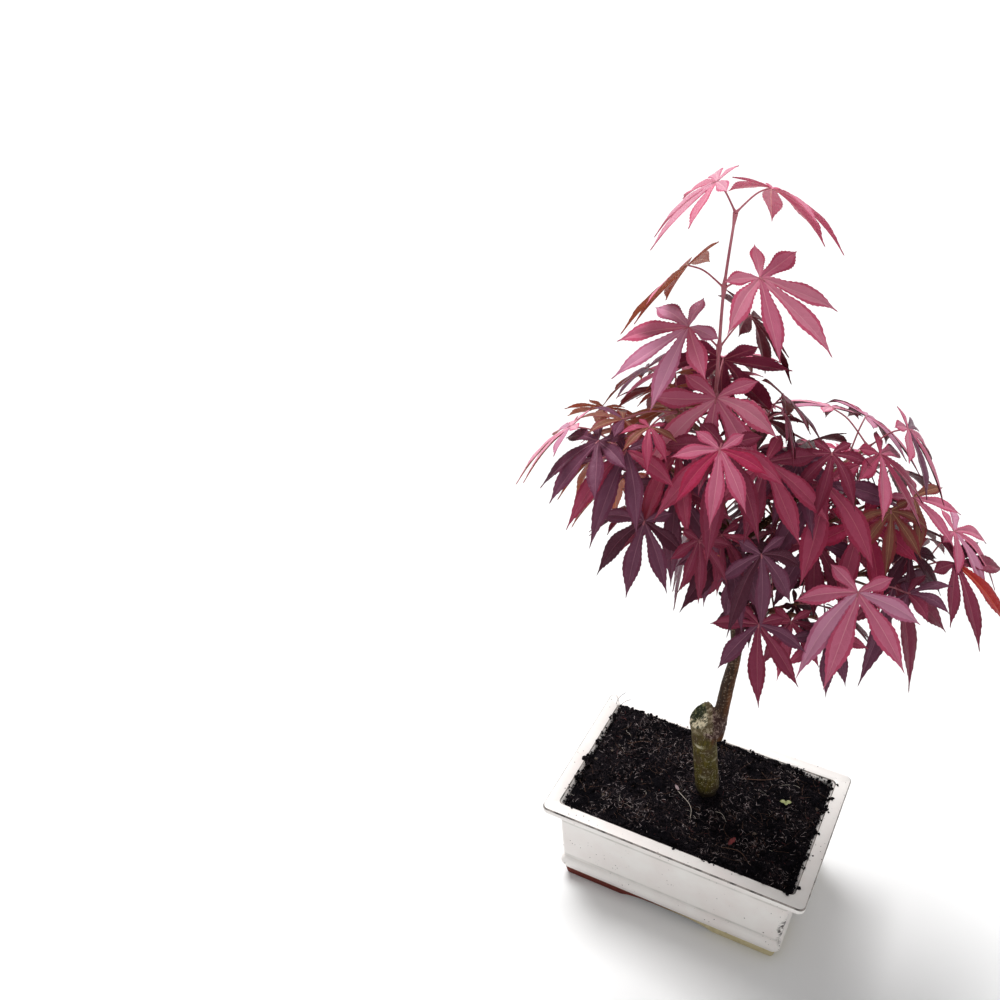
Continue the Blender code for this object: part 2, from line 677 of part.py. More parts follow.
def build_mass(shoot, skeleton_parts, leaves, trunk_line, finish):
    """One shoot: its stem, side twigs, stalks and leaves, fused into one body."""
    bough, stem, twigs, _ = skeleton_parts
    if bough is not None:
        stem = stem + unit(stem[1] - stem[0]) * GAP
    mass = limb(shoot.name, stem, np.linspace(*STEM_GIRTH, len(stem)), STEM_SIDES, finish)
    if bough is None and shoot.stem:
        clear_of_trunk(mass, trunk_line)
    pieces = [limb("twig", twig, (TWIG_GIRTH, TWIG_GIRTH * TWIG_TAPER), TWIG_SIDES) for twig in twigs]
    for leaf in leaves:
        pieces += [stalk_solid(leaf), leaf_solid(leaf)]
    join(mass, pieces, "UNION", "MANIFOLD" if shoot.name in MANIFOLD_MASSES else "EXACT")
    keep_main_piece(mass)
    return mass


def main():
    for thing in list(bpy.data.objects):
        bpy.data.objects.remove(thing)
    glaze = material("white_glaze", (0.80, 0.78, 0.74), 0.25)
    compost = material("compost", (0.018, 0.014, 0.012), 0.95)
    bark = material("bark", (0.115, 0.085, 0.045), 0.75)
    young_bark = material("young_bark", (0.10, 0.04, 0.035), 0.6)
    foliage = material("foliage", (0.27, 0.035, 0.07), 0.5)

    pot_middle = bpy.data.objects.new("pot_middle", None)
    pot_middle.location = (MIDDLE[0] * MM, MIDDLE[1] * MM, 0)
    trunk_foot = bpy.data.objects.new("trunk_foot", None)
    trunk_foot.parent = pot_middle
    trunk_foot.location = [value * MM for value in TRUNK_FOOT]
    trunk_foot.rotation_euler.z = radians(CROWN_TURN)
    for guide in (pot_middle, trunk_foot):
        bpy.context.scene.collection.objects.link(guide)

    for body in (build_pot(glaze), build_soil(compost)):
        body.parent = pot_middle

    trunk_line, skeletons, limbs = grow_limbs()
    plant = [build_trunk(trunk_line, bark)]
    taken = []
    for shoot in SHOOTS:
        bough_line = skeletons[shoot.name][0]
        if bough_line is not None:
            plant.append(build_bough(f"bough_{shoot.name}", bough_line, trunk_line, young_bark))
        leaves, kept = grow_leaves(shoot, skeletons[shoot.name][3], limbs, taken, shoot.seed)
        taken += kept
        plant.append(build_mass(shoot, skeletons[shoot.name], leaves, trunk_line, foliage))
    for body in plant:
        body.parent = trunk_foot


main()
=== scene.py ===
"""Looks of the maple bonsai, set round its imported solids.

The pot, the trunk, the boughs and every mass of foliage get finer meshes that follow the solids' own rule,
and the compost gets a loose surface. Sizes are in millimetres until a mesh is made, unless a comment says
otherwise; those of a leaf's blade are shares of its length.
"""

from collections import namedtuple
from math import atan2, cos, hypot, pi, radians, sin

import bmesh
import bpy
import numpy as np
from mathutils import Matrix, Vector, noise


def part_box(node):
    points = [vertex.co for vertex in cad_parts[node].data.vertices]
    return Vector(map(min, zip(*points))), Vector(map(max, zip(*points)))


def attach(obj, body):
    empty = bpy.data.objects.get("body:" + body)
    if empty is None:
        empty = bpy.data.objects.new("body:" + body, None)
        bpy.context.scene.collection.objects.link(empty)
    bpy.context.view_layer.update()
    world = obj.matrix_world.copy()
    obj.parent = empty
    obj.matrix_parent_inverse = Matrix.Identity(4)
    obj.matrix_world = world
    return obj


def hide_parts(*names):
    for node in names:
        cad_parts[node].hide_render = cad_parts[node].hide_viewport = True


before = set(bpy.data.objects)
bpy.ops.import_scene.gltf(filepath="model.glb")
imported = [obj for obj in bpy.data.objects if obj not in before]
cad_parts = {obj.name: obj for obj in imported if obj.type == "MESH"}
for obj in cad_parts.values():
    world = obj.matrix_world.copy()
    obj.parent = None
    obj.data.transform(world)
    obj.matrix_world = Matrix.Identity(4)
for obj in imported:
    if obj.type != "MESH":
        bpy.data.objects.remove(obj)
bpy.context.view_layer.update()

MM = 0.001
POT_LOW, POT_HIGH = [np.array(corner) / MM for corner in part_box("pot")]
POT_MIDDLE = (POT_LOW + POT_HIGH) / 2 * (1, 1, 0)
POT_LENGTH, POT_DEPTH, POT_HEIGHT = POT_HIGH - POT_LOW

# ---- the plant: across, back and up in millimetres from the foot of the trunk ----

TRUNK_FOOT = (7.5, 1.4, 76.0)   # in the pot, from the middle of its underside
CROWN_TURN = 27.0               # degrees between the pot's long side and the crown's broad side

LEADER_BASE = 352.0             # height where the trunk hands over to this year's shoot
TRUNK_LINE = (
    (-1.5, 0, 70), (-0.7, 0, 84), (1.7, 0, 121), (4.0, 1, 155), (-3.5, 1, 196), (-10.9, -1, 231.5),
    (-20, -3, 275), (-28.9, -2, 317), (-31, 0, LEADER_BASE),
)
TRUNK_GIRTH = (                 # height and radius
    (70, 6.4), (84, 6.4), (100, 5.7), (121, 5.4), (155, 4.3), (206, 3.8), (231, 3.4), (317, 2.7),
    (LEADER_BASE, 2.2),
)
LEADER_LINE = ((-31.1, 0.1, 354.5), (-32.2, 1, 385), (-33.2, 2, 422), (-31.8, 2, 465.6))
TRUNK_STEPS = 4                 # rings between two points of the trunk line

BOUGH_GIRTH = (3.0, 2.0)        # radius at the root and at the tip
STEM_GIRTH = (1.8, 1.2)
TWIG_GIRTH = 1.0
BEND_STEPS = 4                  # straight lengths in a bough and in a mass's stem
TWIG_SHARE = (0.55, 0.45)       # side twigs as a share of their stem
TWIG_RISE = 30.0

# a blade, as shares of its length
LOBE_TURNS = (-128, -82, -40, 0, 40, 82, 128)
LOBE_REACH = (0.46, 0.74, 0.93, 1.0, 0.93, 0.74, 0.46)
LOBE_HALF_WIDTH = 0.148
LOBE_WIDEST = 0.5               # place of a lobe's widest part along it
LOBE_LIFT = 0.03                # rims above the rib
NOTCH_DEPTH = 0.27
HEEL_TURN = 152                 # heading and reach of the corners beside the stalk
HEEL_REACH = 0.1

LEAF_LIFT = 38.0                # rise of a leaf stalk from its twig
STALK_BEND = (0.55, 0.05, -0.1)  # place of its bend, how far that stands up and how far its tip sags
STALK_TURN = 14.0               # a leaf strays at random by up to these
BLADE_TURN = 18.0
SIZE_RANGE = (0.88, 1.12)
STALK_RANGE = (0.8, 1.2)
CURL_RANGE = (0.08, 0.22)       # sag of the lobes' tips
OUTWARD_SHRINK = 0.14           # leaves get smaller towards a shoot's tip
TWIG_LEAF = 0.9                 # and on side twigs
TRY_STRAY = 0.15                # each further try strays more and is smaller
TRY_SHRINK = 0.022
TRIES = 20                      # tries before a leaf's place stays empty

LEAF_GAP = 1.0                  # clear on both sides of a blade
BLADE_CHECKS = 8                # points along each rib and rim that keep clear of the limbs
STALK_CHECKS = 5                # and along each half of a stalk
PARALLEL = 1e-12                # a line this level with a triangle doesn't pass through it
LIMB_GAP = 1.2
STALK_GAP = 2.0
LOWEST_TIP = 18.0
STEM_FREE = 0.25                # share of a stem below its first leaves

# name, height on the trunk, heading and rise, lengths of the bare bough and of the mass's stem, headings of
# the leaves at each of the stem's joints, leaf length, stalk length, droop of the first and of the last
# leaves, seed; a joint's side twig is its own heading and then its leaves' headings
Shoot = namedtuple("Shoot", "name at heading rise bough stem faces leaf stalk droop droop_tip seed")
SHOOTS = (
    Shoot("crown_top", LEADER_BASE, 90, 88, 0, 0,
          ((250, 70), (190, 28), (150, -48), (150, 18)), 54, 25, 54, 30, 62),
    Shoot("front_upper", 302, 262, 50, 14, 34,
          ((195, 325), (275, 170), (235, 300)), 52, 28, 55, 55, 22),
    Shoot("upper_left", 325, 200, 42, 0, 36,
          ((250, 140), (185, 215)), 50, 28, 42, 42, 30),
    Shoot("upper_right", 318, -20, 40, 0, 34,
          ((-80, 60), (5, -40)), 50, 26, 50, 50, 39),
    Shoot("left", 286, 180, 28, 24, 46,
          ((260, 110), (235, 130), (168, 212)), 52, 34, 48, 48, 37),
    Shoot("right", 240, 4, 44, 66, 44,
          ((262, 120), (300, 60), (-38, 150)), 52, 32, 45, 45, 2),
    Shoot("right_middle", 226, 10, 24, 40, 60,
          ((265, 80), (290, 40), (-40, 60)), 50, 28, 48, 48, 26),
    Shoot("low_right", 204, -4, 14, 52, 70,
          (((-75, 250, -50), (75, 30, 90)), (-60, 70), (255, 80), (-40, 15)), 56, 28, 44, 44, 29),
    Shoot("low_front", 190, -42, 24, 16, 48,
          (((250, 240, 290), (-10, -50, 10)), (275, -20), (255, -50)), 50, 26, 48, 48, 27),
    Shoot("middle_front", 250, 262, 30, 0, 34,
          ((200, 310), (270, 190), (235, 300)), 48, 24, 55, 55, 21),
    Shoot("low_left", 262, 212, 16, 14, 40,
          ((265, 150), (235, 180), (215, 255)), 50, 28, 52, 52, 7),
    Shoot("back", 272, 92, 42, 30, 44,
          (((150, 130, 175), (30, 0, 50)), (60, 130), (80, 185)), 52, 32, 38, 38, 20),
    Shoot("back_right", 216, 45, 26, 40, 50,
          (((110, 80, 130), (-10, -30, 20)), (0, 110), (20, 75)), 52, 30, 40, 40, 22),
    Shoot("back_left", 248, 145, 30, 26, 42,
          (((210, 185, 225), (90, 70, 110)), (185, 100), (125, 170)), 52, 32, 40, 40, 20),
)
UP = np.array((0.0, 0.0, 1.0))


def unit(vector):
    return vector / np.linalg.norm(vector)


def compass(heading, rise):
    """Direction with a heading (0 across to the right, 90 to the back) and a rise, both in degrees."""
    turn, tilt = radians(heading), radians(rise)
    return np.array((cos(turn) * cos(tilt), sin(turn) * cos(tilt), sin(tilt)))


def smooth_line(points, steps):
    """Catmull-Rom curve through the points, with the same number of steps between each two."""
    knots = np.array(points, float)
    knots = np.vstack((2 * knots[0] - knots[1], knots, 2 * knots[-1] - knots[-2]))
    line = []
    for a, b, c, d in zip(knots, knots[1:], knots[2:], knots[3:]):
        square, cube = 2 * a - 5 * b + 4 * c - d, 3 * b - a - 3 * c + d
        for t in np.arange(steps) / steps:
            line.append(b + ((c - a) * t + square * t**2 + cube * t**3) / 2)
    line.append(knots[-2])
    return np.array(line)


def at_share(line, share):
    """Point of a line at a share of its count of steps."""
    steps = np.linspace(0, 1, len(line))
    return np.array([np.interp(share, steps, line[:, axis]) for axis in range(3)])


def line_at(line, height):
    """Point of a rising line at a height, or its points at several heights."""
    return np.stack([np.interp(height, line[:, 2], line[:, axis]) for axis in range(3)], axis=-1)


def trunk_radius(height):
    return np.interp(height, *zip(*TRUNK_GIRTH))


def skeleton(shoot, trunk):
    """Bough line, stem line, side twigs, and the places of the leaves with their headings."""
    root = line_at(trunk, shoot.at)
    way = compass(shoot.heading, shoot.rise)
    stops = len(shoot.faces)
    if shoot.stem:
        first = root + way * shoot.bough
        shares = np.linspace(0, 1, BEND_STEPS + 1)
        stem = np.array([first + way * shoot.stem * share for share in shares])
        bough = np.array([root + way * shoot.bough * share for share in shares]) if shoot.bough else None
        places = [at_share(stem, share) for share in np.linspace(STEM_FREE, 1, stops)]
    else:
        stem = np.array(LEADER_LINE)
        bough = None
        places = list(stem)
    twigs, seats = [], []
    for stop, (place, faces) in enumerate(zip(places, shoot.faces)):
        along = stop / (stops - 1)
        for side, face in enumerate(faces):
            if isinstance(face, tuple):
                end = place + compass(face[0], TWIG_RISE) * shoot.stem * TWIG_SHARE[side]
                twigs.append(np.array((place, end)))
                seats += [(end, heading, along, TWIG_LEAF) for heading in face[1:]]
            else:
                seats.append((place, face, along, 1.0))
    return bough, stem, twigs, seats


def hang_leaf(shoot, seat, attempt, dice):
    """A leaf on its stalk, headed away from the twig, with a drooping blade; each attempt strays further."""
    place, face, along, small = seat
    stray = 1 + TRY_STRAY * attempt
    heading = face + dice.uniform(-STALK_TURN, STALK_TURN) * stray
    go = compass(heading, LEAF_LIFT + dice.uniform(-STALK_TURN, STALK_TURN) * stray)
    size = shoot.leaf * dice.uniform(*SIZE_RANGE) * (1 - OUTWARD_SHRINK * along) * small
    stalk = shoot.stalk * dice.uniform(*STALK_RANGE) * small
    droop = shoot.droop + (shoot.droop_tip - shoot.droop) * along
    droop = radians(droop + dice.uniform(-BLADE_TURN, BLADE_TURN) * stray)
    turn = atan2(go[1], go[0]) + radians(dice.uniform(-BLADE_TURN, BLADE_TURN)) * stray
    roll = radians(dice.uniform(-BLADE_TURN, BLADE_TURN))
    level = np.array((cos(turn), sin(turn), 0.0))
    along_blade = level * cos(droop) - UP * sin(droop)
    face_up = level * sin(droop) + UP * cos(droop)
    face_up = face_up * cos(roll) + np.cross(face_up, along_blade) * sin(roll)
    bend, rise, sag = STALK_BEND
    line = (place, place + stalk * (go * bend + UP * rise), place + stalk * (go + UP * sag))
    return {
        "stalk": np.array(line),
        "along": along_blade,
        "across": np.cross(face_up, along_blade),
        "normal": face_up,
        "size": size * (1 - TRY_SHRINK * attempt),
        "curl": dice.uniform(*CURL_RANGE),
    }


def blade_point(leaf, turn, reach, lift=0.0):
    """Point of a blade at a turn from its middle lobe and a share of its size; its tips sag."""
    x, y = reach * cos(turn), reach * sin(turn)
    flat = leaf["along"] * x + leaf["across"] * y + leaf["normal"] * lift
    return leaf["stalk"][-1] + leaf["size"] * (flat - UP * leaf["curl"] * reach**2)


def blade(leaf):
    """Corners and triangles of a leaf's middle surface.

    The corners are its base, its heel, then each lobe's left side, rib, right side, tip and next notch.
    """
    corners = [blade_point(leaf, 0, 0), blade_point(leaf, radians(-HEEL_TURN), HEEL_REACH)]
    faces = []
    for lobe, (turn, reach) in enumerate(zip(LOBE_TURNS, LOBE_REACH)):
        half = LOBE_HALF_WIDTH * (0.35 + 0.65 * reach)
        middle = LOBE_WIDEST * reach
        bulge, shoulder = atan2(half, middle), hypot(half, middle)
        if lobe + 1 < len(LOBE_TURNS):
            notch_turn = (turn + LOBE_TURNS[lobe + 1]) / 2
            notch_reach = NOTCH_DEPTH * (1 + min(reach, LOBE_REACH[lobe + 1])) / 2
        else:
            notch_turn, notch_reach = HEEL_TURN, HEEL_REACH
        first = len(corners)
        corners += [
            blade_point(leaf, radians(turn) - bulge, shoulder, LOBE_LIFT * reach),
            blade_point(leaf, radians(turn), middle),
            blade_point(leaf, radians(turn) + bulge, shoulder, LOBE_LIFT * reach),
            blade_point(leaf, radians(turn), reach),
            blade_point(leaf, radians(notch_turn), notch_reach),
        ]
        before, left, rib, right, tip, after = range(first - 1, first + 5)
        faces += [(0, before, rib), (0, rib, after), (before, left, rib)]
        faces += [(left, tip, rib), (tip, right, rib), (right, after, rib)]
    return np.array(corners), np.array(faces)


def blade_lines(corners):
    """Ribs and rims of a blade as pairs of points."""
    pairs = []
    for lobe in range(len(LOBE_TURNS)):
        before, left, rib, right, tip, after = range(1 + 5 * lobe, 7 + 5 * lobe)
        pairs += [(0, rib), (rib, tip), (before, left), (left, tip), (tip, right), (right, after)]
    return corners[np.array(pairs)]


def pierces(lines, triangles):
    """True where any of the lines passes through any of the triangles."""
    start, way = lines[:, None, 0], lines[:, None, 1] - lines[:, None, 0]
    corner = triangles[:, 0]
    edge_a, edge_b = triangles[:, 1] - corner, triangles[:, 2] - corner
    normal = np.cross(way, edge_b)
    scale = (normal * edge_a).sum(-1)
    scale = np.where(abs(scale) < PARALLEL, PARALLEL, scale)
    offset = start - corner
    u = (offset * normal).sum(-1) / scale
    turned = np.cross(offset, edge_a)
    v = (turned * way).sum(-1) / scale
    t = (turned * edge_b).sum(-1) / scale
    return bool(((u >= 0) & (v >= 0) & (u + v <= 1) & (t >= 0) & (t <= 1)).any())


def spread(lines, count):
    """Evenly spaced points on each line."""
    shares = np.linspace(0, 1, count)[:, None]
    return (lines[:, None, 0] + (lines[:, None, 1] - lines[:, None, 0]) * shares).reshape(-1, 3)


def gap_to_line(points, start, end):
    way = end - start
    share = np.clip(((points - start) @ way) / (way @ way), 0, 1)
    return np.linalg.norm(points - start - share[:, None] * way, axis=1).min()


def measured(leaf, mass):
    """The points, lines and triangles of a leaf that its clearances are tested with."""
    corners, faces = blade(leaf)
    sheet = corners[faces]
    guard = leaf["normal"] * LEAF_GAP
    lines = blade_lines(corners)
    stalk = np.array((leaf["stalk"][:2], leaf["stalk"][1:]))
    held = np.vstack((corners, leaf["stalk"]))
    return {
        "mass": mass,
        "sheets": np.concatenate((sheet - guard, sheet, sheet + guard)),
        "lines": lines,
        "points": spread(lines, BLADE_CHECKS),
        "stalk": stalk,
        "stalk_points": spread(stalk, STALK_CHECKS)[2:],
        "low": held.min(0) - STALK_GAP,
        "high": held.max(0) + STALK_GAP,
    }


def is_clear(new, limbs, leaves):
    """A leaf touches no limb and crosses no other leaf; its stalk keeps clear of the other masses."""
    if new["points"][:, 2].min() < LOWEST_TIP:
        return False
    for mass, start, end, radius in limbs:
        low, high = np.minimum(start, end) - radius, np.maximum(start, end) + radius
        if (low > new["high"]).any() or (high < new["low"]).any():
            continue
        if gap_to_line(new["points"], start, end) < radius + LIMB_GAP:
            return False
        if mass != new["mass"] and gap_to_line(new["stalk_points"], start, end) < radius + LIMB_GAP:
            return False
        if pierces(np.array([(start, end)]), new["sheets"]):
            return False
    for old in leaves:
        if (old["low"] > new["high"]).any() or (old["high"] < new["low"]).any():
            continue
        if pierces(new["lines"], old["sheets"]) or pierces(old["lines"], new["sheets"]):
            return False
        if old["mass"] == new["mass"]:
            continue
        if pierces(new["stalk"], old["sheets"]) or pierces(old["stalk"], new["sheets"]):
            return False
        if min(gap_to_line(new["stalk_points"], *line) for line in old["stalk"]) < STALK_GAP:
            return False
    return True


def limbs_of(mass, line, first, last):
    """A line's straight lengths, each with its mass and its thicker radius."""
    radii = np.linspace(first, last, len(line))
    return [(mass, a, b, radius) for a, b, radius in zip(line, line[1:], radii)]


def grow_limbs():
    """Trunk line, each shoot's skeleton, and every limb that leaves keep clear of."""
    trunk = smooth_line(TRUNK_LINE, TRUNK_STEPS)
    limbs = [("trunk", a, b, trunk_radius(a[2])) for a, b in zip(trunk, trunk[1:])]
    skeletons = {}
    for shoot in SHOOTS:
        bough, stem, twigs, _ = skeletons[shoot.name] = skeleton(shoot, trunk)
        if bough is not None:
            limbs += limbs_of("bough", bough, *BOUGH_GIRTH)
        limbs += limbs_of(shoot.name, stem, *STEM_GIRTH)
        for twig in twigs:
            limbs += limbs_of(shoot.name, twig, TWIG_GIRTH, TWIG_GIRTH)
    return trunk, skeletons, limbs


def grow_leaves(shoot, seats, limbs, taken, seed):
    """A mass's leaves, with what later masses keep clear of."""
    dice = np.random.default_rng(seed)
    leaves, kept = [], []
    for seat in seats:
        for attempt in range(TRIES):
            leaf = hang_leaf(shoot, seat, attempt, dice)
            new = measured(leaf, shoot.name)
            if is_clear(new, limbs, taken + kept):
                leaves.append(leaf)
                kept.append(new)
                break
    return leaves, kept

# ---- from the plant's own frame to the row's ----

def in_row(points):
    """Points in the plant's frame, moved into the row's frame; both in millimetres."""
    turn = radians(CROWN_TURN)
    across, back, up = np.asarray(points, float).T
    x = across * cos(turn) - back * sin(turn)
    y = across * sin(turn) + back * cos(turn)
    return np.stack((x, y, up), axis=1) + TRUNK_FOOT + POT_MIDDLE


# ---- materials ----

def linear(red, green, blue):
    """A colour given as the eye sees it, from 0 to 255, as linear light."""
    shares = np.array((red, green, blue)) / 255
    light = np.where(shares <= 0.04045, shares / 12.92, ((shares + 0.055) / 1.055) ** 2.4)
    return (*light.tolist(), 1.0)


class Finish:
    """A material under construction: a Principled shader and helpers that add nodes to it."""

    def __init__(self, name, colour, roughness=0.5, **sockets):
        self.material = bpy.data.materials.new(name)
        self.material.use_nodes = True
        self.tree = self.material.node_tree
        self.shader = self.tree.nodes["Principled BSDF"]
        self.shader.inputs["Base Color"].default_value = linear(*colour)
        self.shader.inputs["Roughness"].default_value = roughness
        for socket, value in sockets.items():
            self.shader.inputs[socket.replace("_", " ")].default_value = value

    def add(self, kind, inputs, output=0, **settings):
        """A new node's output, with its inputs linked or set."""
        node = self.tree.nodes.new("ShaderNode" + kind)
        for setting, value in settings.items():
            setattr(node, setting, value)
        for socket, value in inputs.items():
            if isinstance(value, bpy.types.NodeSocket):
                self.tree.links.new(value, node.inputs[socket])
            else:
                node.inputs[socket].default_value = value
        return node.outputs[output]

    def place(self, stretch=(1, 1, 1)):
        """Position on the object in millimetres, stretched along each axis."""
        position = self.add("TexCoord", {}, "Object")
        return self.add("Mapping", {"Vector": position, "Scale": tuple(1 / MM / value for value in stretch)})

    def noise(self, size, place=None, detail=4.0, roughness=0.55):
        """Noise from 0 to 1 whose lumps are about so many millimetres wide."""
        place = place or self.place()
        settings = {"Vector": place, "Scale": 1 / size, "Detail": detail, "Roughness": roughness}
        return self.add("TexNoise", settings, "Fac")

    def cells(self, size, feature="F1"):
        """Distance from the nearest of scattered points, or from the edges between them."""
        settings = {"Vector": self.place(), "Scale": 1 / size}
        return self.add("TexVoronoi", settings, "Distance", feature=feature)

    def ramp(self, value, *stops):
        """A value turned into greys or colours; each stop is a place from 0 to 1 with a grey or a colour."""
        node = self.tree.nodes.new("ShaderNodeValToRGB")
        self.tree.links.new(value, node.inputs["Fac"])
        for _ in stops[2:]:
            node.color_ramp.elements.new(0.5)
        for element, (place, colour) in zip(node.color_ramp.elements, stops):
            element.position = place
            element.color = (colour,) * 3 + (1,) if isinstance(colour, (int, float)) else linear(*colour)
        return node.outputs["Color"]

    def rise(self, value, low, high):
        """0 where the value is under low, 1 where it is over high."""
        return self.ramp(value, (low, 0), (high, 1))

    def fall(self, value, low, high):
        """1 where the value is under low, 0 where it is over high."""
        return self.ramp(value, (low, 1), (high, 0))

    def mix(self, share, first, second):
        """One colour blended into another; each is a socket or a colour."""
        node = self.tree.nodes.new("ShaderNodeMix")
        node.data_type = "RGBA"
        for place, value in ((0, share), (6, first), (7, second)):
            if isinstance(value, bpy.types.NodeSocket):
                self.tree.links.new(value, node.inputs[place])
            else:
                node.inputs[place].default_value = value if place == 0 else linear(*value)
        return node.outputs[2]

    def mask(self, name):
        """A share that the mesh stores for each of its points."""
        return self.add("Attribute", {}, "Fac", attribute_name=name)

    def most(self, first, second):
        return self.add("Math", {0: first, 1: second}, operation="MAXIMUM")

    def times(self, product, *factors):
        for factor in factors:
            product = self.add("Math", {0: product, 1: factor}, operation="MULTIPLY")
        return product

    def colour(self, socket):
        self.tree.links.new(socket, self.shader.inputs["Base Color"])

    def rough(self, value, low, high):
        """Roughness that runs from low to high with a value."""
        socket = self.add("MapRange", {"Value": value, "To Min": low, "To Max": high})
        self.tree.links.new(socket, self.shader.inputs["Roughness"])

    def relief(self, *layers):
        """Bump from layers of a height socket and its depth in millimetres."""
        normal = None
        for height, depth in layers:
            inputs = {"Height": height, "Distance": depth * MM, "Strength": 1.0}
            if normal:
                inputs["Normal"] = normal
            normal = self.add("Bump", inputs)
        self.tree.links.new(normal, self.shader.inputs["Normal"])


# upper side of a leaf: blade, rim and veins
LEAF_TONES = {
    "blossom": ((230, 160, 180), (218, 114, 144), (240, 184, 196)),
    "pink": ((226, 136, 160), (214, 92, 124), (236, 164, 180)),
    "lavender": ((204, 136, 164), (188, 102, 134), (220, 160, 180)),
    "rose": ((204, 108, 136), (192, 76, 108), (222, 142, 160)),
    "red": ((176, 48, 84), (170, 36, 70), (200, 86, 108)),
    "crimson": ((176, 72, 100), (162, 48, 78), (196, 102, 120)),
    "wine": ((134, 50, 74), (122, 34, 58), (164, 88, 102)),
    "plum": ((110, 62, 84), (102, 46, 70), (142, 94, 112)),
    "dusk": ((74, 28, 44), (68, 20, 38), (108, 60, 74)),
    "bronze": ((136, 84, 66), (130, 50, 50), (184, 132, 102)),
    "ember": ((176, 44, 38), (164, 36, 34), (206, 104, 66)),
}
# under side: blade and veins
UNDER_TONES = {
    "blush": ((172, 72, 96), (204, 112, 104)),
    "coral": ((208, 100, 126), (228, 142, 132)),
    "berry": ((138, 46, 74), (176, 92, 104)),
    "orange": ((176, 94, 62), (206, 142, 92)),
    "rust": ((118, 48, 38), (164, 98, 68)),
    "blood": ((92, 26, 36), (140, 68, 62)),
}
SIDE_VEIN_PALLOR = 0.28         # how far a side vein's colour goes from the blade's to the midrib's
LEAF_SHEEN = (236, 200, 236)
LEAF_GLOSS = (255, 196, 220)


def leaf_finish(name, colour, vein):
    """Leaf skin: satin, with a pale sheen, faint blisters and a net of fine veinlets."""
    finish = Finish(name, colour, Sheen_Weight=0.03, Sheen_Roughness=0.4, Sheen_Tint=linear(*LEAF_SHEEN),
                    Specular_IOR_Level=0.3, Specular_Tint=linear(*LEAF_GLOSS))
    finish.rough(finish.noise(4.0), 0.3, 0.5)
    net = finish.rise(finish.cells(1.3, feature="DISTANCE_TO_EDGE"), 0.0, 0.12)
    finish.relief((finish.noise(3.0), 0.25), (net, 0.05 if vein else 0.12))
    return finish.material


def leaf_finishes():
    """Every leaf skin: each upper tone's blade, rim, midrib and side veins, then each under tone's two."""
    skins = []
    for name, (blade_colour, rim, rib) in LEAF_TONES.items():
        vein = [round((1 - SIDE_VEIN_PALLOR) * a + SIDE_VEIN_PALLOR * b) for a, b in zip(blade_colour, rib)]
        for skin, colour in zip(UPPER_SKINS, (blade_colour, rim, rib, vein)):
            skins.append(leaf_finish(f"leaf_{name}_{skin}", colour, skin in ("rib", "vein")))
    for name, colours in UNDER_TONES.items():
        for skin, colour in zip(UNDER_SKINS, colours):
            skins.append(leaf_finish(f"under_{name}_{skin}", colour, skin == "vein"))
    return skins


def twig_finish(name, colour, second, gloss):
    """Young bark or a stalk's skin, streaked along its height."""
    finish = Finish(name, colour, Specular_IOR_Level=0.4)
    along = finish.noise(2.0, finish.place((1, 1, 6)))
    finish.colour(finish.mix(finish.rise(along, 0.35, 0.7), colour, second))
    finish.rough(finish.noise(3.0), gloss, gloss + 0.2)
    finish.relief((along, 0.2))
    return finish.material


CREASE_SHADE_LINES = ((10.6, 1.0), (24.2, 2.2), (64.0, 1.6))   # height and half width of each grey line of painted shade along the wall's grooves and creases
SHADE_LINES_SPAN = 100.0              # the heights that the ramp of painted shade lines covers
CHIPPED_CORNER = POT_MIDDLE + (POT_LENGTH / 2 - 11, 15 - POT_DEPTH / 2, 36)
CHIPPED_REACH = np.array((7.0, 7.0, 20.0))
SAND_STARTS = (-10, 30)         # across the pot, where the feet turn from red clay to sandy


def glaze_finish():
    """Cream glaze with pin holes, dark specks, grey lines of painted shade in the wall's grooves and creases,
    and a chipped corner.
    """
    finish = Finish("white_glaze_detailed", (240, 236, 228), Specular_IOR_Level=0.5, Coat_Weight=0.15,
                    Coat_Roughness=0.3)
    tint = finish.ramp(finish.noise(26.0), (0.3, (246, 243, 239)), (0.7, (238, 230, 226)))
    crowd = finish.rise(finish.noise(24.0, detail=3.0), 0.5, 0.6)
    specks = finish.times(finish.fall(finish.cells(3.4), 0.09, 0.14), crowd)
    specks = finish.most(specks, finish.fall(finish.cells(15.0), 0.03, 0.05))
    from_chip = finish.add("Mapping", {"Vector": finish.place(), "Scale": tuple(1 / CHIPPED_REACH),
                                       "Location": tuple(-CHIPPED_CORNER / CHIPPED_REACH)})
    chipped = finish.add("TexGradient", {"Vector": from_chip}, "Fac", gradient_type="SPHERICAL")
    chips = finish.times(finish.rise(finish.noise(2.6), 0.44, 0.5), finish.rise(chipped, 0.02, 0.35),
                         finish.rise(finish.noise(6.0, detail=2.0), 0.4, 0.5))
    # painted shade: grey lines at the heights of the wall's grooves and creases, made patchy by noise
    height = finish.add("SeparateXYZ", {"Vector": finish.place()}, "Z")
    stops = [(0.0, 0)]
    for middle, half in CREASE_SHADE_LINES:
        stops += [((middle + step * half) / SHADE_LINES_SPAN, 1 - abs(step)) for step in (-1, 0, 1)]
    lines = finish.ramp(finish.times(height, 1 / SHADE_LINES_SPAN), *stops)
    patchy_shade = finish.ramp(finish.noise(14.0, detail=3.0), (0.3, 0.25), (0.65, 0.8))
    tint = finish.mix(finish.times(lines, patchy_shade), tint, (178, 176, 168))
    finish.colour(finish.mix(finish.most(specks, chips), tint, (44, 36, 34)))
    finish.rough(finish.noise(30.0, detail=1.0), 0.3, 0.42)
    finish.relief((finish.noise(18.0, detail=1.0), 0.12), (finish.noise(1.2), 0.012))
    return finish.material


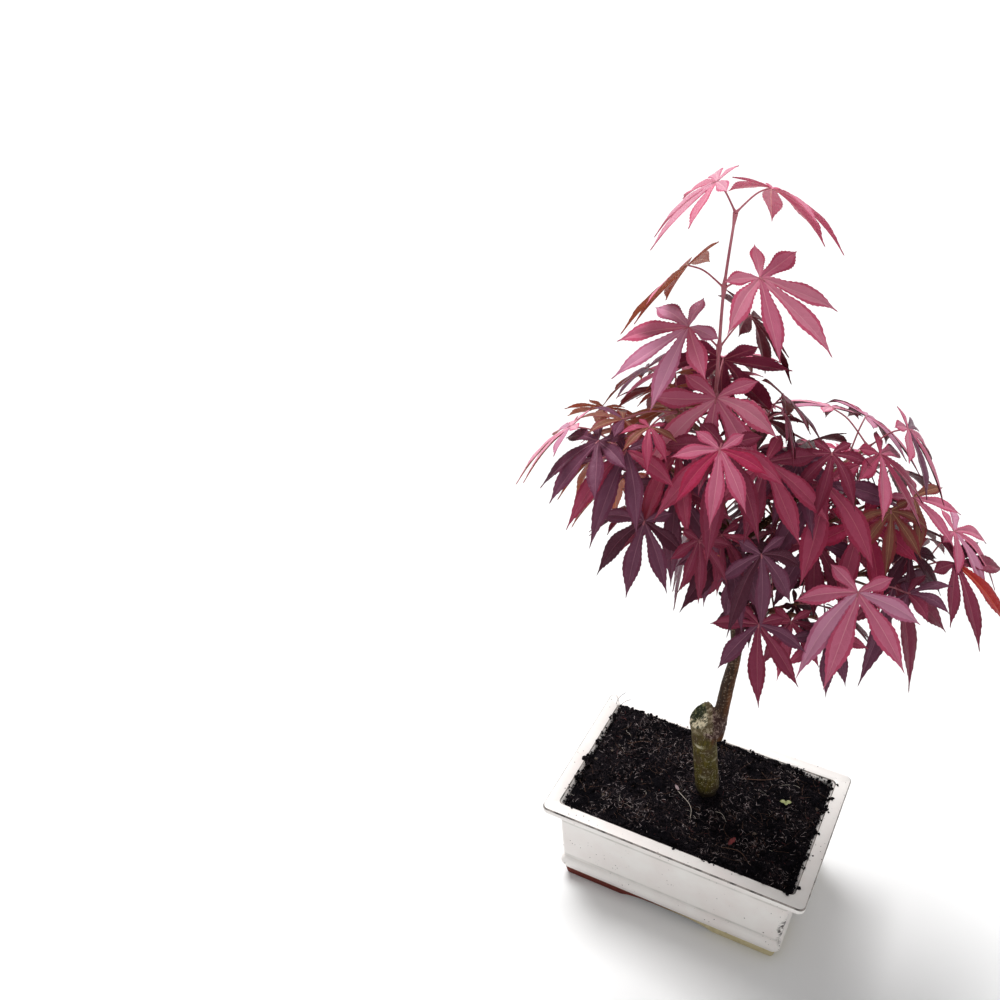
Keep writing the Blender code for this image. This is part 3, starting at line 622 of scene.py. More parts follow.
def broken_glaze_finish():
    """Where the glaze thins over an arris and the dark body shows through."""
    finish = Finish("glaze_break", (86, 78, 74))
    worn = finish.fall(finish.noise(7.0, detail=6.0), 0.34, 0.56)
    finish.colour(finish.mix(worn, (160, 152, 146), (54, 50, 48)))
    finish.rough(worn, 0.3, 0.6)
    finish.relief((worn, 0.15))
    return finish.material


def clay_finish():
    """Bare fired clay on the feet, red-brown at one end and sandy at the other."""
    finish = Finish("bare_clay", (112, 48, 36), Specular_IOR_Level=0.25)
    long_way = finish.add("SeparateXYZ", {"Vector": finish.place()}, "X")
    first, last = (float(POT_MIDDLE[0] + place) for place in SAND_STARTS)
    end = finish.add("MapRange", {"Value": long_way, "From Min": first, "From Max": last})
    sand = finish.mix(finish.noise(3.0, detail=8.0), (182, 168, 124), (222, 210, 172))
    red = finish.mix(finish.noise(4.0, detail=8.0), (84, 30, 24), (118, 50, 38))
    finish.colour(finish.mix(end, red, sand))
    finish.rough(finish.noise(2.0), 0.7, 0.95)
    finish.relief((finish.noise(1.2, detail=8.0), 0.4))
    return finish.material


# darker and lighter colour of each kind of bark
OLIVE = ((40, 36, 10), (104, 92, 32))
BLOTCH = (76, 62, 40)
BROWN = ((36, 20, 10), (64, 40, 20))
# painted light: a lighter, more orange copy of the stem's brown for the side that the lit mask picks out
LIT_BROWN = ((56, 30, 12), (112, 64, 28))
CALLUS = ((66, 44, 40), (156, 134, 124))
COLLAR = ((98, 86, 60), (152, 140, 114))
SAWN = ((34, 40, 20), (128, 124, 84))
LENTICELS = ((212, 204, 172), (190, 168, 144))     # on the rootstock and on the grafted stem
CREAM = (214, 202, 172)
DARK = (30, 22, 18)


def bark_finish():
    """Olive rootstock, callused union, brown stem that is painted lighter on its right side, and sawn wood,
    by the shares that the mesh stores.
    """
    finish = Finish("bark_detailed", (110, 100, 60), Specular_IOR_Level=0.18)
    grain = finish.noise(1.6, finish.place((1, 1, 7)), detail=8.0)
    blotch = finish.noise(9.0, detail=3.0)
    flakes = finish.rise(finish.noise(2.4, finish.place((1, 1, 1.8)), detail=10.0), 0.5, 0.6)
    streaks = finish.noise(3.2, finish.place((0.8, 0.8, 2.6)), detail=8.0, roughness=0.7)
    lit, scion = finish.mask("lit"), finish.mask("scion")
    olive = finish.mix(finish.rise(grain, 0.3, 0.7), *OLIVE)
    olive = finish.mix(finish.rise(blotch, 0.42, 0.66), olive, BLOTCH)
    ridges = finish.rise(grain, 0.35, 0.65)
    brown = finish.mix(lit, finish.mix(ridges, *BROWN), finish.mix(ridges, *LIT_BROWN))
    skin = finish.mix(scion, olive, brown)
    skin = finish.mix(finish.mask("callus"), skin, finish.mix(flakes, *CALLUS))
    skin = finish.mix(finish.times(finish.mask("collar"), 0.85), skin, finish.mix(flakes, *COLLAR))
    skin = finish.mix(finish.mask("sawn"), skin, finish.mix(finish.rise(streaks, 0.52, 0.66), *SAWN))
    crowd = finish.ramp(finish.noise(5.0, detail=2.0), (0.4, 0.1), (0.6, 0.6))
    crowd = finish.most(crowd, finish.times(finish.mask("specked"), 0.85))
    # lenticel dots thin out on the stem's painted lit side
    shade = finish.add("MapRange", {"Value": finish.times(lit, scion), "To Min": 1.0, "To Max": 0.1})
    dots = finish.times(finish.fall(finish.cells(1.6), 0.16, 0.28), crowd, shade)
    specks = finish.mix(scion, *LENTICELS)
    split = finish.times(finish.mask("cream"), finish.rise(streaks, 0.46, 0.54))
    pale, dark = finish.mask("pale"), finish.mask("dark")
    for share, colour in ((dots, specks), (pale, specks), (split, CREAM), (dark, DARK)):
        skin = finish.mix(share, skin, colour)
    finish.colour(skin)
    finish.rough(blotch, 0.5, 0.78)
    finish.relief((grain, 0.5), (finish.noise(0.7, detail=6.0), 0.25))
    return finish.material


def compost_finish(name, dark, light):
    """Dark crumbly compost whose lighter grains crowd in patches."""
    finish = Finish(name, dark, Specular_IOR_Level=0.08)
    lumps = finish.noise(1.1, detail=10.0, roughness=0.7)
    patch = finish.ramp(finish.noise(22.0, detail=2.0), (0.42, 0.15), (0.6, 1.0))
    finish.colour(finish.mix(finish.times(finish.rise(lumps, 0.5, 0.64), patch), dark, light))
    finish.rough(lumps, 0.75, 1.0)
    finish.relief((lumps, 2.0), (finish.noise(0.6, detail=6.0), 0.5))
    return finish.material


def plain_finish(name, colour, second, size, roughness):
    """Two close colours mixed by noise, with a fine relief."""
    finish = Finish(name, colour)
    patch = finish.noise(size)
    finish.colour(finish.mix(finish.rise(patch, 0.35, 0.65), colour, second))
    finish.rough(patch, roughness, min(1.0, roughness + 0.15))
    finish.relief((patch, size * 0.1))
    return finish.material


# ---- meshes ----

def mesh_of(name, points, faces, materials=(), slots=None):
    mesh = bpy.data.meshes.new(name)
    mesh.from_pydata(points.tolist(), [], faces)
    for item in materials:
        mesh.materials.append(item)
    if slots is not None:
        mesh.polygons.foreach_set("material_index", np.asarray(slots, np.int32))
    return mesh


def placed(name, data):
    """A new object in the scene that holds the data."""
    item = bpy.data.objects.new(name, data)
    bpy.context.scene.collection.objects.link(item)
    return item


def smoothed(mesh, sharp):
    """Smooth shading, but for edges that turn by more than so many degrees."""
    mesh.shade_smooth()
    mesh.set_sharp_from_angle(angle=radians(sharp))


def faced_outward(mesh, cut=None):
    """Turns a closed mesh's faces outward, after a cut if one is given."""
    shape = bmesh.new()
    shape.from_mesh(mesh)
    if cut:
        cut(shape)
    bmesh.ops.recalc_face_normals(shape, faces=shape.faces)
    shape.to_mesh(mesh)
    shape.free()


def modified(item):
    """A new mesh with an object's modifiers applied."""
    return bpy.data.meshes.new_from_object(item.evaluated_get(bpy.context.evaluated_depsgraph_get()))


def discard(item):
    mesh = item.data
    bpy.data.objects.remove(item)
    bpy.data.meshes.remove(mesh)


def add_piece(name, points, faces, materials, slots=None, sharp=50.0):
    """A smooth mesh object from points in millimetres in the row's frame; it rides on the part."""
    mesh = mesh_of(name, np.asarray(points) * MM, faces, materials, slots)
    smoothed(mesh, sharp)
    piece = placed(name, mesh)
    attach(piece, "root")
    return piece


class Bundle:
    """Points and faces of many small shapes that end up in one mesh."""

    def __init__(self):
        self.points, self.faces, self.slots, self.count = [], [], [], 0

    def add(self, points, faces, slots=0):
        self.points.append(points)
        for group in faces:
            self.faces += (np.asarray(group) + self.count).tolist()
        total = sum(len(group) for group in faces)
        self.slots.append(np.broadcast_to(slots, total))
        self.count += len(points)

    def add_tube(self, line, radii, sides, slot):
        """A round limb along a line in the pot's frame."""
        points, faces = tube(line, radii, sides)
        self.add(points + POT_MIDDLE, faces, slot)

    def piece(self, name, materials):
        return add_piece(name, np.vstack(self.points), self.faces, materials, np.concatenate(self.slots))


def quad_rings(count, size):
    """The quads between each two of so many rings of equal size."""
    ring, step = np.meshgrid(np.arange(count - 1), np.arange(size), indexing="ij")
    a, b = ring * size + step, ring * size + (step + 1) % size
    return np.stack((a, b, b + size, a + size), axis=-1).reshape(-1, 4)


def end_caps(count, size):
    """The faces over the first and the last of so many rings."""
    return np.arange(size)[::-1][None], (np.arange(size) + (count - 1) * size)[None]


def tube(line, radii, sides):
    """Points, quads and end caps of a tapering round limb; its rings are square to its line."""
    line = np.asarray(line, float)
    ways = np.gradient(line, axis=0)
    ways /= np.linalg.norm(ways, axis=1)[:, None]
    across = unit(np.cross(ways[0], (0.31, 0.95, 0.07)))
    turns = np.arange(sides) * 2 * pi / sides
    points = []
    for centre, way, radius in zip(line, ways, radii):
        across = unit(across - way * (across @ way))
        over = np.cross(way, across)
        points.append(centre + radius * (np.outer(np.cos(turns), across) + np.outer(np.sin(turns), over)))
    return np.vstack(points), (quad_rings(len(line), sides), *end_caps(len(line), sides))


# ---- shares and distances ----

def hump(distance, width):
    """1 at no distance, falling off smoothly over about the width."""
    return np.exp(-(distance / width) ** 2)


def mound(x, y, centre, reach):
    """1 at the centre, falling off smoothly over about the reach along each axis."""
    return np.exp(-(((x - centre[0]) / reach[0]) ** 2 + ((y - centre[1]) / reach[1]) ** 2))


def share_between(value, low, high):
    """0 at low, 1 at high, with soft ends."""
    share = np.clip((value - low) / (high - low), 0, 1)
    return share * share * (3 - 2 * share)


def fine_noise(points, size, seed):
    """Smooth noise from -1 to 1 at each point."""
    spot = Vector((seed * 7.3, seed * 3.1, seed * 1.7))
    return np.array([noise.noise(Vector(point) / size + spot) for point in points])


# ---- leaves ----

UPPER_SKINS = ("blade", "rim", "rib", "vein")
UNDER_SKINS = ("blade", "vein")
BLADE, RIM, RIB, VEIN = range(len(UPPER_SKINS))
BASE_ROWS = 5                   # rows of faces from the leaf's base to a notch
TOOTH_HEIGHT = 0.010            # with the usual number of teeth along a side
USUAL_TEETH = 13
TOOTH_TIP = 0.7                 # place of a tooth's tip between two hollows
VEIN_SHARE = 0.08               # width of a side vein between two teeth
VEIN_PEAK = 0.1
CHEVRON = 0.8                   # how far side veins run forward
MIDRIB = 0.0075                 # half its width at the leaf's base
MIDRIB_TAPER = 0.75             # share of that width it loses by the tip
MIDRIB_START = 0.004
FINE_WIDTH = 0.9                # lobes are slimmer than the solid's
FINE_NOTCH = 0.5                # notches reach deeper than the solid's
LOBE_OUTLINE = (                # place along a lobe from its notch, and share of its width
    (0, 0), (0.22, 0.36), (0.4, 0.84), (0.52, 1.0), (0.66, 0.86), (0.8, 0.46), (0.9, 0.15), (1.0, 0.0),
)
OUTLINE_STEPS = 6
LOBE_SHOULDER = LOBE_OUTLINE[3][0]   # its widest place
BLADE_THICKNESS = 0.24          # millimetres
PLEATS = (0.7, 1.0, 0.75, 0, 0)  # rise of a row, between the side veins of each two teeth
BASE_PLEAT = 0.5
PLEAT_HEIGHT = 0.004
RIB_DEPTH = 0.002
LOBE_SWING = 3.5                # each lobe strays by about so many degrees, and by up to the shares below
LOBE_STRETCH = 0.06
LOBE_BEND = 0.18
LOBE_TWIST = 0.28
LOBE_DROOP = (-0.10, 0.20)
FREE_FROM = 0.28                # lobes move on their own past this share of the blade
RIM_WAVE = 0.056                # rise of a wave, as a share of the distance from the rib
WAVES = 22.0                    # radians along the blade


def rim_rows(reach, notch_turn, notch_reach, teeth):
    """Rim points of half a lobe in rows from base to tip: along, out, and out without its teeth."""
    turn = radians(notch_turn)
    rows = []
    for share in np.arange(1, BASE_ROWS + 1) / BASE_ROWS:
        along, out = notch_reach * share * cos(turn), notch_reach * share * sin(turn)
        rows.append((along, out, out))
    start, side, _ = rows[-1]
    widest = FINE_WIDTH * LOBE_HALF_WIDTH * (0.35 + 0.65 * reach)
    curve = smooth_line([(place, width, 0) for place, width in LOBE_OUTLINE], OUTLINE_STEPS)
    for tooth in range(teeth):
        stops = [(TOOTH_TIP, 1), (1, 0)]
        if tooth % 2 and tooth < teeth - 1:
            stops.append((1 + VEIN_SHARE, VEIN_PEAK))
        for stop, peak in stops:
            share = (tooth + stop) / teeth
            width = np.interp(share, curve[:, 0], curve[:, 1])
            out = widest * width if share > LOBE_SHOULDER else side + (widest - side) * width
            tooth_out = TOOTH_HEIGHT * USUAL_TEETH / teeth * peak * min(1, out / side)
            rows.append((start + (reach - start) * share, out + tooth_out, out))
    return np.array(rows)


def notch_after(lobe):
    """Turn from a lobe's axis to the notch after it, and that notch's reach; the last one is the heel."""
    if lobe + 1 == len(LOBE_TURNS):
        return HEEL_TURN - LOBE_TURNS[-1], HEEL_REACH
    shorter = min(LOBE_REACH[lobe], LOBE_REACH[lobe + 1])
    return (LOBE_TURNS[lobe + 1] - LOBE_TURNS[lobe]) / 2, FINE_NOTCH * NOTCH_DEPTH * (1 + shorter) / 2


def leaf_template(teeth, half_columns):
    """One flat leaf: points, faces and the kind of each face.

    A point is its lobe, its place along it and out from its rib, its lift and whether it lies on the rim.
    """
    known, points, faces, kinds = {}, [], [], []

    def point(lobe, along, out, lift, rim):
        turn = radians(LOBE_TURNS[lobe])
        x, y = along * cos(turn) - out * sin(turn), along * sin(turn) + out * cos(turn)
        key = (round(x, 5), round(y, 5))
        if key not in known:
            known[key] = len(points)
            points.append((lobe, along, out, lift, rim))
        return known[key]

    group = len(PLEATS)
    for lobe, reach in enumerate(LOBE_REACH):
        notches = {-1: notch_after((lobe - 1) % len(LOBE_TURNS)), 1: notch_after(lobe)}
        halves = {way: rim_rows(reach, *notch, teeth) for way, notch in notches.items()}
        spine = np.mean([rows[:, 0] - CHEVRON * rows[:, 2] for rows in halves.values()], axis=0)
        spine = np.maximum.accumulate(np.clip(spine, MIDRIB_START, reach))
        lines = []
        for row, middle in enumerate(spine[:-1]):
            tooth_row = row - BASE_ROWS
            pleat = PLEATS[tooth_row % group] if tooth_row >= 0 else BASE_PLEAT
            line = []
            for way, rows in halves.items():
                along, out, _ = rows[row]
                outer = tooth_row >= -1 or notches[way][1] == HEEL_REACH
                rib = min(MIDRIB * (1 - MIDRIB_TAPER * middle / reach), 0.3 * out)
                half = [point(lobe, middle, way * rib, -RIB_DEPTH, False)]
                for column in half_columns:
                    lift = LOBE_LIFT * reach * (1.5 * column - 0.5 * column**3) * min(1, out / 0.1)
                    lift += PLEAT_HEIGHT * pleat * column * (1 - column) * 4
                    place = middle + (along - middle) * column**1.25
                    half.append(point(lobe, place, way * out * column, lift, outer and column == 1.0))
                line.append(half)
            lines.append(line[0][::-1] + line[1])
        centre, tip = point(lobe, 0, 0, 0, True), point(lobe, reach, 0, 0, True)
        columns = range(len(lines[0]) - 1)
        spine_column, rims = len(columns) // 2, (0, len(columns) - 1)
        for row, (low, high) in enumerate(zip(lines, lines[1:])):
            vein_row = row >= BASE_ROWS and (row - BASE_ROWS) % group == group - 2
            for column in columns:
                faces.append((low[column], high[column], high[column + 1], low[column + 1]))
                side_vein = vein_row and column not in rims
                rim = column in rims and row >= BASE_ROWS
                kinds.append(RIB if column == spine_column else VEIN if side_vein else RIM if rim else BLADE)
        for column in columns:
            faces.append((centre, lines[0][column], lines[0][column + 1]))
            faces.append((lines[-1][column], tip, lines[-1][column + 1]))
            kinds += [BLADE, RIM]
    return np.array(points), faces, np.array(kinds)


class LeafMaker:
    """Bends the flat template into each leaf of the plant."""

    def __init__(self, teeth, half_columns):
        points, faces, kinds = leaf_template(teeth, half_columns)
        self.lobe = points[:, 0].astype(int)
        self.along, self.out, self.lift = points[:, 1], points[:, 2], points[:, 3]
        self.rib = self.lift == -RIB_DEPTH
        self.inner = inner = np.flatnonzero(points[:, 4] == 0)
        twin = np.arange(len(points))
        twin[inner] = len(points) + np.arange(len(inner))
        self.groups = []
        for count in (4, 3):
            top = np.array([face for face in faces if len(face) == count])
            self.groups += [top, twin[top][:, ::-1]]
        self.face_kinds = [kinds[[len(face) == count for face in faces]] for count in (4, 3)]

    def points_of(self, leaf, dice):
        """Upper and under points of one leaf, in the plant's frame."""
        lobes = len(LOBE_TURNS)
        swing = np.radians(dice.normal(0, LOBE_SWING, lobes))[self.lobe]
        stretch = 1 + dice.uniform(-LOBE_STRETCH, LOBE_STRETCH, lobes)[self.lobe]
        bend = dice.uniform(-LOBE_BEND, LOBE_BEND, lobes)[self.lobe]
        twist = dice.uniform(-LOBE_TWIST, LOBE_TWIST, lobes)[self.lobe]
        phase = dice.uniform(0, 2 * pi, lobes)[self.lobe]
        droop = dice.uniform(*LOBE_DROOP, lobes)[self.lobe]
        along = self.along * stretch
        out = self.out + bend * along**2
        turn = np.radians(np.array(LOBE_TURNS))[self.lobe] + swing * np.minimum(along / FREE_FROM, 1)
        x, y = along * np.cos(turn) - out * np.sin(turn), along * np.sin(turn) + out * np.cos(turn)
        reach = np.hypot(x, y)
        free = np.clip((reach - FREE_FROM) / (1 - FREE_FROM), 0, None)
        wave = RIM_WAVE * np.sin(along * WAVES + phase)
        lift = self.lift + (twist * self.out + wave * abs(self.out)) * free
        half = BLADE_THICKNESS / 2 / leaf["size"]
        upper = lift + half
        under = (lift - half - np.where(self.rib, RIB_DEPTH * 2, 0))[self.inner]
        upper[np.setdiff1d(np.arange(len(upper)), self.inner)] -= half
        sag = leaf["curl"] * reach**2 + leaf["claw"] * free ** leaf["hook"] + droop * free**1.5
        flat = np.outer(x, leaf["along"]) + np.outer(y, leaf["across"]) - np.outer(sag, UP)
        points = np.vstack((flat + np.outer(upper, leaf["normal"]),
                            flat[self.inner] + np.outer(under, leaf["normal"])))
        return leaf["stalk"][-1] + leaf["size"] * points

    def slots_of(self, tones, under):
        """Material slot of every face; tones holds one upper tone for each lobe."""
        slots, first_under = [], len(UPPER_SKINS) * len(LEAF_TONES)
        for group, kinds in zip(self.groups[::2], self.face_kinds):
            slots.append(tones[self.lobe[group[:, 1]]] * len(UPPER_SKINS) + kinds)
            slots.append(first_under + under * len(UNDER_SKINS) + (kinds == RIB))
        return np.concatenate(slots)


# ---- foliage ----

# teeth along a lobe's side, and places of the columns of points from its rib to its rim
LARGE_LEAF = (USUAL_TEETH, (0.36, 0.7, 1.0))
SMALL_LEAF = (9, (0.5, 1.0))
SMALL_SEED = 500                # added to a mass's seed for its small leaves
SHAPE_SEED = 1000               # and for the bends of every lobe
SMALL_TRIES = 30
SMALL_PLACES = (0.1, 1.0)       # share of the stem where small twigs start
SMALL_RISE = (5, 55)
SMALL_TWIG = (6.0, 20.0)
SMALL_SIZE = (0.5, 0.85)
SMALL_GIRTH = 0.9
STALK_SUNK = 0.06               # share of the blade that the stalk runs into
STEM_OVERLAP = 0.4              # a stem starts this much of a step inside its bough
# a round limb: radius at its start and at its end, how far its middle stands up, steps and sides
Limb = namedtuple("Limb", "first last arch steps sides")
FINE_STEM = Limb(1.6, 1.0, 0, 6, 10)
LEADER_STEM = Limb(1.25, 0.75, 0, 6, 10)
SIDE_TWIG = Limb(1.15 * TWIG_GIRTH, 0.8 * TWIG_GIRTH, 0.8, 5, 8)
SMALL_TWIG_LIMB = Limb(0.85, 0.6, 0.5, 3, 6)
PETIOLE_SHAPE = ((0, 0.1, 0.85, 1), (1.15, 0.56, 0.5, 0.75))    # shares of its length, with radii
PETIOLE_STEPS = 5
PETIOLE_SIDES = 7
STEM_SWELLING = (0.4, 2.0)      # height and width of the swelling at a joint
TWIG_SWELLING = (0.3, 1.6)
YOUNG_STEM, PETIOLE = 0, 1      # slots of the twigs
CLAW_RANGE = (0.06, 0.2)        # a lobe's end turns down by such a share of the blade
HOOK = 2.5                      # and the higher this is, the nearer its tip
TOP_CLAW = (0.02, 0.08)
TOP_HOOK = 4.0
TOP_CURL = 0.8
TIP_HEIGHT = 440                # the pair above this arches like a parasol
TIP_CURL = 0.22
LOBES_OF_SECOND_TONE = (2, 5)

# for each mass: how many small leaves it has; the upper tones of its large leaves in turn, with a second name
# for some lobes or for the lobe with that number; those of its small leaves; and the under tones of both
Tones = namedtuple("Tones", "small_leaves large small under")
MASS_TONES = {
    "crown_top": Tones(0, "rose/pink rose lavender/rose wine blossom/pink pink/rose blossom/pink "
                       "pink/blossom", "rose", "blush berry blush blood orange blush coral coral"),
    "front_upper": Tones(2, "crimson/plum crimson/wine wine/crimson rose/red", "wine crimson", "rust"),
    "upper_left": Tones(3, "lavender crimson/bronze bronze/plum", "lavender plum", "orange"),
    "upper_right": Tones(2, "rose wine/plum wine", "wine", "blood rust"),
    "left": Tones(5, "plum/wine rose plum/crimson plum blossom/lavender plum", "bronze plum wine",
                  "orange berry"),
    "right": Tones(4, "crimson/plum wine crimson/rose lavender/rose rose/plum blossom/lavender",
                   "plum wine crimson", "blood"),
    "right_middle": Tones(6, "wine/plum crimson red/crimson crimson/wine rose/bronze wine/crimson",
                          "wine bronze crimson dusk", "blood"),
    "low_right": Tones(12, "rose/lavender plum/wine dusk/wine wine/plum rose/lavender dusk wine wine/ember3 "
                       "rose/lavender", "wine dusk bronze red", "blood rust"),
    "low_front": Tones(9, "wine/plum crimson/wine wine dusk/wine plum plum/crimson", "dusk wine", "blood"),
    "middle_front": Tones(3, "plum plum/wine plum/dusk plum/wine wine/crimson plum/dusk", "dusk wine",
                          "rust"),
    "low_left": Tones(5, "wine/crimson dusk/plum plum/wine plum/dusk", "dusk wine", "rust orange"),
    "back": Tones(5, "wine/crimson crimson rose", "wine dusk", "rust"),
    "back_right": Tones(5, "crimson wine rose/red", "wine crimson", "blood"),
    "back_left": Tones(5, "plum wine lavender", "plum wine", "orange"),
}


def grow_small(shoot, stem, limbs, taken):
    """Finer twigs with small leaves between a mass's joints, wherever they touch nothing."""
    dice = np.random.default_rng(shoot.seed + SMALL_SEED)
    found = []
    for number in range(MASS_TONES[shoot.name].small_leaves):
        for _ in range(SMALL_TRIES):
            share = dice.uniform(*SMALL_PLACES)
            start = at_share(stem, share)
            turn = dice.uniform(0, 360)
            end = start + compass(turn, dice.uniform(*SMALL_RISE)) * dice.uniform(*SMALL_TWIG)
            leaf = hang_leaf(shoot, (end, turn, share, dice.uniform(*SMALL_SIZE)), 0, dice)
            new = measured(leaf, f"{shoot.name}_{number}")
            twig = np.array((start, end))
            others = [limb for limb in limbs if limb[0] != shoot.name]
            if is_clear(new, others, taken) and not any(pierces(twig[None], old["sheets"]) for old in taken):
                taken.append(new)
                limbs.append((shoot.name, start, end, SMALL_GIRTH))
                found.append((twig, leaf))
                break
    return found


def petiole(leaf):
    """A leaf's stalk as a smooth line with its radii; its foot is swollen and its tip runs into the blade."""
    line = smooth_line(leaf["stalk"], PETIOLE_STEPS)
    end = line[-1] + leaf["along"] * leaf["size"] * STALK_SUNK
    line = np.vstack((line, end))
    return line, np.interp(np.linspace(0, 1, len(line)), *PETIOLE_SHAPE)


def limb_along(points, limb, swellings=(), swelling=STEM_SWELLING):
    """A smooth line and its radii, with a swelling at each of some places."""
    line = smooth_line(points, limb.steps)
    radii = np.linspace(limb.first, limb.last, len(line))
    height, width = swelling
    for place in swellings:
        radii = radii + height * hump(np.linalg.norm(line - place, axis=1), width)
    return line, radii, limb.sides


def arched(twig, limb):
    return twig[0], twig.mean(axis=0) + UP * limb.arch, twig[1]


def lobe_tones(choice):
    """Tone of each lobe, from one name or from two with a slash between them."""
    first, *others = choice.split("/")
    tones = [first] * len(LOBE_TURNS)
    for name in others:
        lobes = (int(name[-1]),) if name[-1].isdigit() else LOBES_OF_SECOND_TONE
        for lobe in lobes:
            tones[lobe] = name.rstrip("0123456789")
    return np.array([list(LEAF_TONES).index(tone) for tone in tones])


def build_foliage(shoot, parts, leaves, small, makers, finishes):
    """A mass's stem, side twigs and petioles in one piece, and its leaves in another."""
    _, stem, twigs, seats = parts
    dice = np.random.default_rng(shoot.seed + SHAPE_SEED)
    wood, blades = Bundle(), Bundle()
    start = stem[:1] - (stem[1:2] - stem[:1]) * STEM_OVERLAP
    leader = shoot.name == "crown_top"
    limb, slot = (LEADER_STEM, PETIOLE) if leader else (FINE_STEM, YOUNG_STEM)
    limbs = [(*limb_along(np.vstack((start, stem)), limb, [seat[0] for seat in seats]), slot)]
    for twig in twigs:
        limbs.append((*limb_along(arched(twig, SIDE_TWIG), SIDE_TWIG, twig, TWIG_SWELLING), YOUNG_STEM))
    for twig, _ in small:
        limbs.append((*limb_along(arched(twig, SMALL_TWIG_LIMB), SMALL_TWIG_LIMB), YOUNG_STEM))
    hung = [(leaf, makers[0]) for leaf in leaves] + [(leaf, makers[1]) for _, leaf in small]
    limbs += [(*petiole(leaf), PETIOLE_SIDES, PETIOLE) for leaf, _ in hung]
    for line, radii, sides, slot in limbs:
        points, faces = tube(line, radii, sides)
        wood.add(in_row(points), faces, slot)
    twig_piece = wood.piece(f"twigs_{shoot.name}", finishes["twigs"])

    tones = MASS_TONES[shoot.name]
    unders = tones.under.split()
    for number, (leaf, maker) in enumerate(hung):
        choice = (tones.large if number < len(leaves) else tones.small).split()
        leaf["claw"] = dice.uniform(*(TOP_CLAW if leader else CLAW_RANGE))
        leaf["hook"] = TOP_HOOK if leader else HOOK
        leaf["curl"] *= TOP_CURL if leader else 1.0
        leaf["curl"] += TIP_CURL if leaf["stalk"][0][2] > TIP_HEIGHT else 0.0
        upper = lobe_tones(choice[number % len(choice)])
        under = list(UNDER_TONES).index(unders[number % len(unders)])
        blades.add(in_row(maker.points_of(leaf, dice)), maker.groups, maker.slots_of(upper, under))
    leaf_piece = blades.piece(f"leaves_{shoot.name}", finishes["leaves"])
    for piece in (twig_piece, leaf_piece):
        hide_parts(shoot.name)


# ---- wood ----

ROOTSTOCK_LINE = (
    (0.4, 4, 0), (-0.4, 3.7, 7), (-1.8, 3.2, 16), (-5.4, 2.2, 40), (-10.0, 0.6, 72), (-13.0, 0.8, 90),
    (-16.2, 1, 112),
)
ROOTSTOCK_GIRTH = (6.2, 6.2, 9.0, 8.8, 8.9, 8.8, 8.6)
ROOTSTOCK_SKIN = 9.2            # radius that its lenticels are scattered on
SAW_POINT = (-13.0, 0.8, 91.0)
SAW_FACING = (-0.62, -0.25, 0.75)
UNION_CENTRE = (-4.8, -1.8, 84.5)
UNION_SIZE = (8.2, 9.6, 10.0)
TWIG_STUB = ((-4.0, 1, 199), (-9.5, -1, 202), (-13.5, -1.5, 206))
TWIG_STUB_GIRTH = (1.8, 1.1)
BOUGH_TAPER = ((0, 0.25, 1), (4.0, 2.75, BOUGH_GIRTH[1]))     # shares of its length, with radii
BOUGH_SUNK = 2.0                # a bough starts this far inside the trunk
STEM_SLIM = 0.88                # the grafted stem's girth against the solid's
STOCK_SIDES, STEM_SIDES, STUB_SIDES, BOUGH_SIDES = 40, 28, 10, 16
LIMB_STEPS = 4
STUB_STEPS = 3
BARK_VOXEL = 0.62
BARK_RELAX = 3
LOWEST_BARK = -0.2
SCARS = np.array(((1.0, -6.5, 51), (-14.0, -6.0, 66), (-9.0, -8.2, 33)))
NODE_HEIGHTS = (151, 179)       # rings on the stem where no bough grows
# scattered lenticels: how many, between which heights
STOCK_LENTICELS = (150, 2, 62)
STEM_LENTICELS = ((170, 92, 150), (170, 150, 345))
# heights over which one kind of bark gives way to the next
SCION_STARTS = (62, 74)
STOCK_ENDS = (98, 104)
COLLAR_STARTS = (62, 70)
SAW_STARTS = (70, 80)
LEDGE_STARTS = (60, 70)
WRINKLES_END = (6, 30)
SPECKS_END = (26, 52)
DARK_FOOT = (10, 24)


def skin_places(count, low, high, line, radii, dice):
    """Scattered places on a limb's skin between two heights."""
    places = []
    for height in dice.uniform(low, high, count):
        turn = dice.uniform(0, 2 * pi)
        radius = np.interp(height, line[:, 2], radii)
        places.append(line_at(line, height) + radius * np.array((cos(turn), sin(turn), 0)))
    return np.array(places)


def closest(points, places, stretch):
    """Distance from each point to the nearest of the places."""
    nearest = np.full(len(points), np.inf)
    for place in places:
        nearest = np.minimum(nearest, (((points - place) / stretch) ** 2).sum(1))
    return np.sqrt(nearest)


def wood_solids(rootstock, trunk_line, skeletons):
    """Rough round limbs that the bark is shrunk on: rootstock, stem, stub and boughs."""
    thick = np.interp(rootstock[:, 2], [point[2] for point in ROOTSTOCK_LINE], ROOTSTOCK_GIRTH)
    stub = smooth_line(TWIG_STUB, STUB_STEPS)
    limbs = [(rootstock, thick, STOCK_SIDES),
             (trunk_line, STEM_SLIM * trunk_radius(trunk_line[:, 2]), STEM_SIDES),
             (stub, np.linspace(*TWIG_STUB_GIRTH, len(stub)), STUB_SIDES)]
    for bough, *_ in skeletons.values():
        if bough is not None:
            line = np.vstack((bough[:1], smooth_line(bough, LIMB_STEPS)))
            line[0] -= unit(bough[1] - bough[0]) * BOUGH_SUNK
            limbs.append((line, np.interp(np.linspace(0, 1, len(line)), *BOUGH_TAPER), BOUGH_SIDES))
    return limbs


def saw_off(shape):
    """The slanting cut through the rootstock, closed with a flat face."""
    whole = shape.verts[:] + shape.edges[:] + shape.faces[:]
    cut = bmesh.ops.bisect_plane(shape, geom=whole, plane_co=SAW_POINT, plane_no=SAW_FACING, clear_outer=True)
    rim = [edge for edge in cut["geom_cut"] if isinstance(edge, bmesh.types.BMEdge)]
    bmesh.ops.contextual_create(shape, geom=rim)


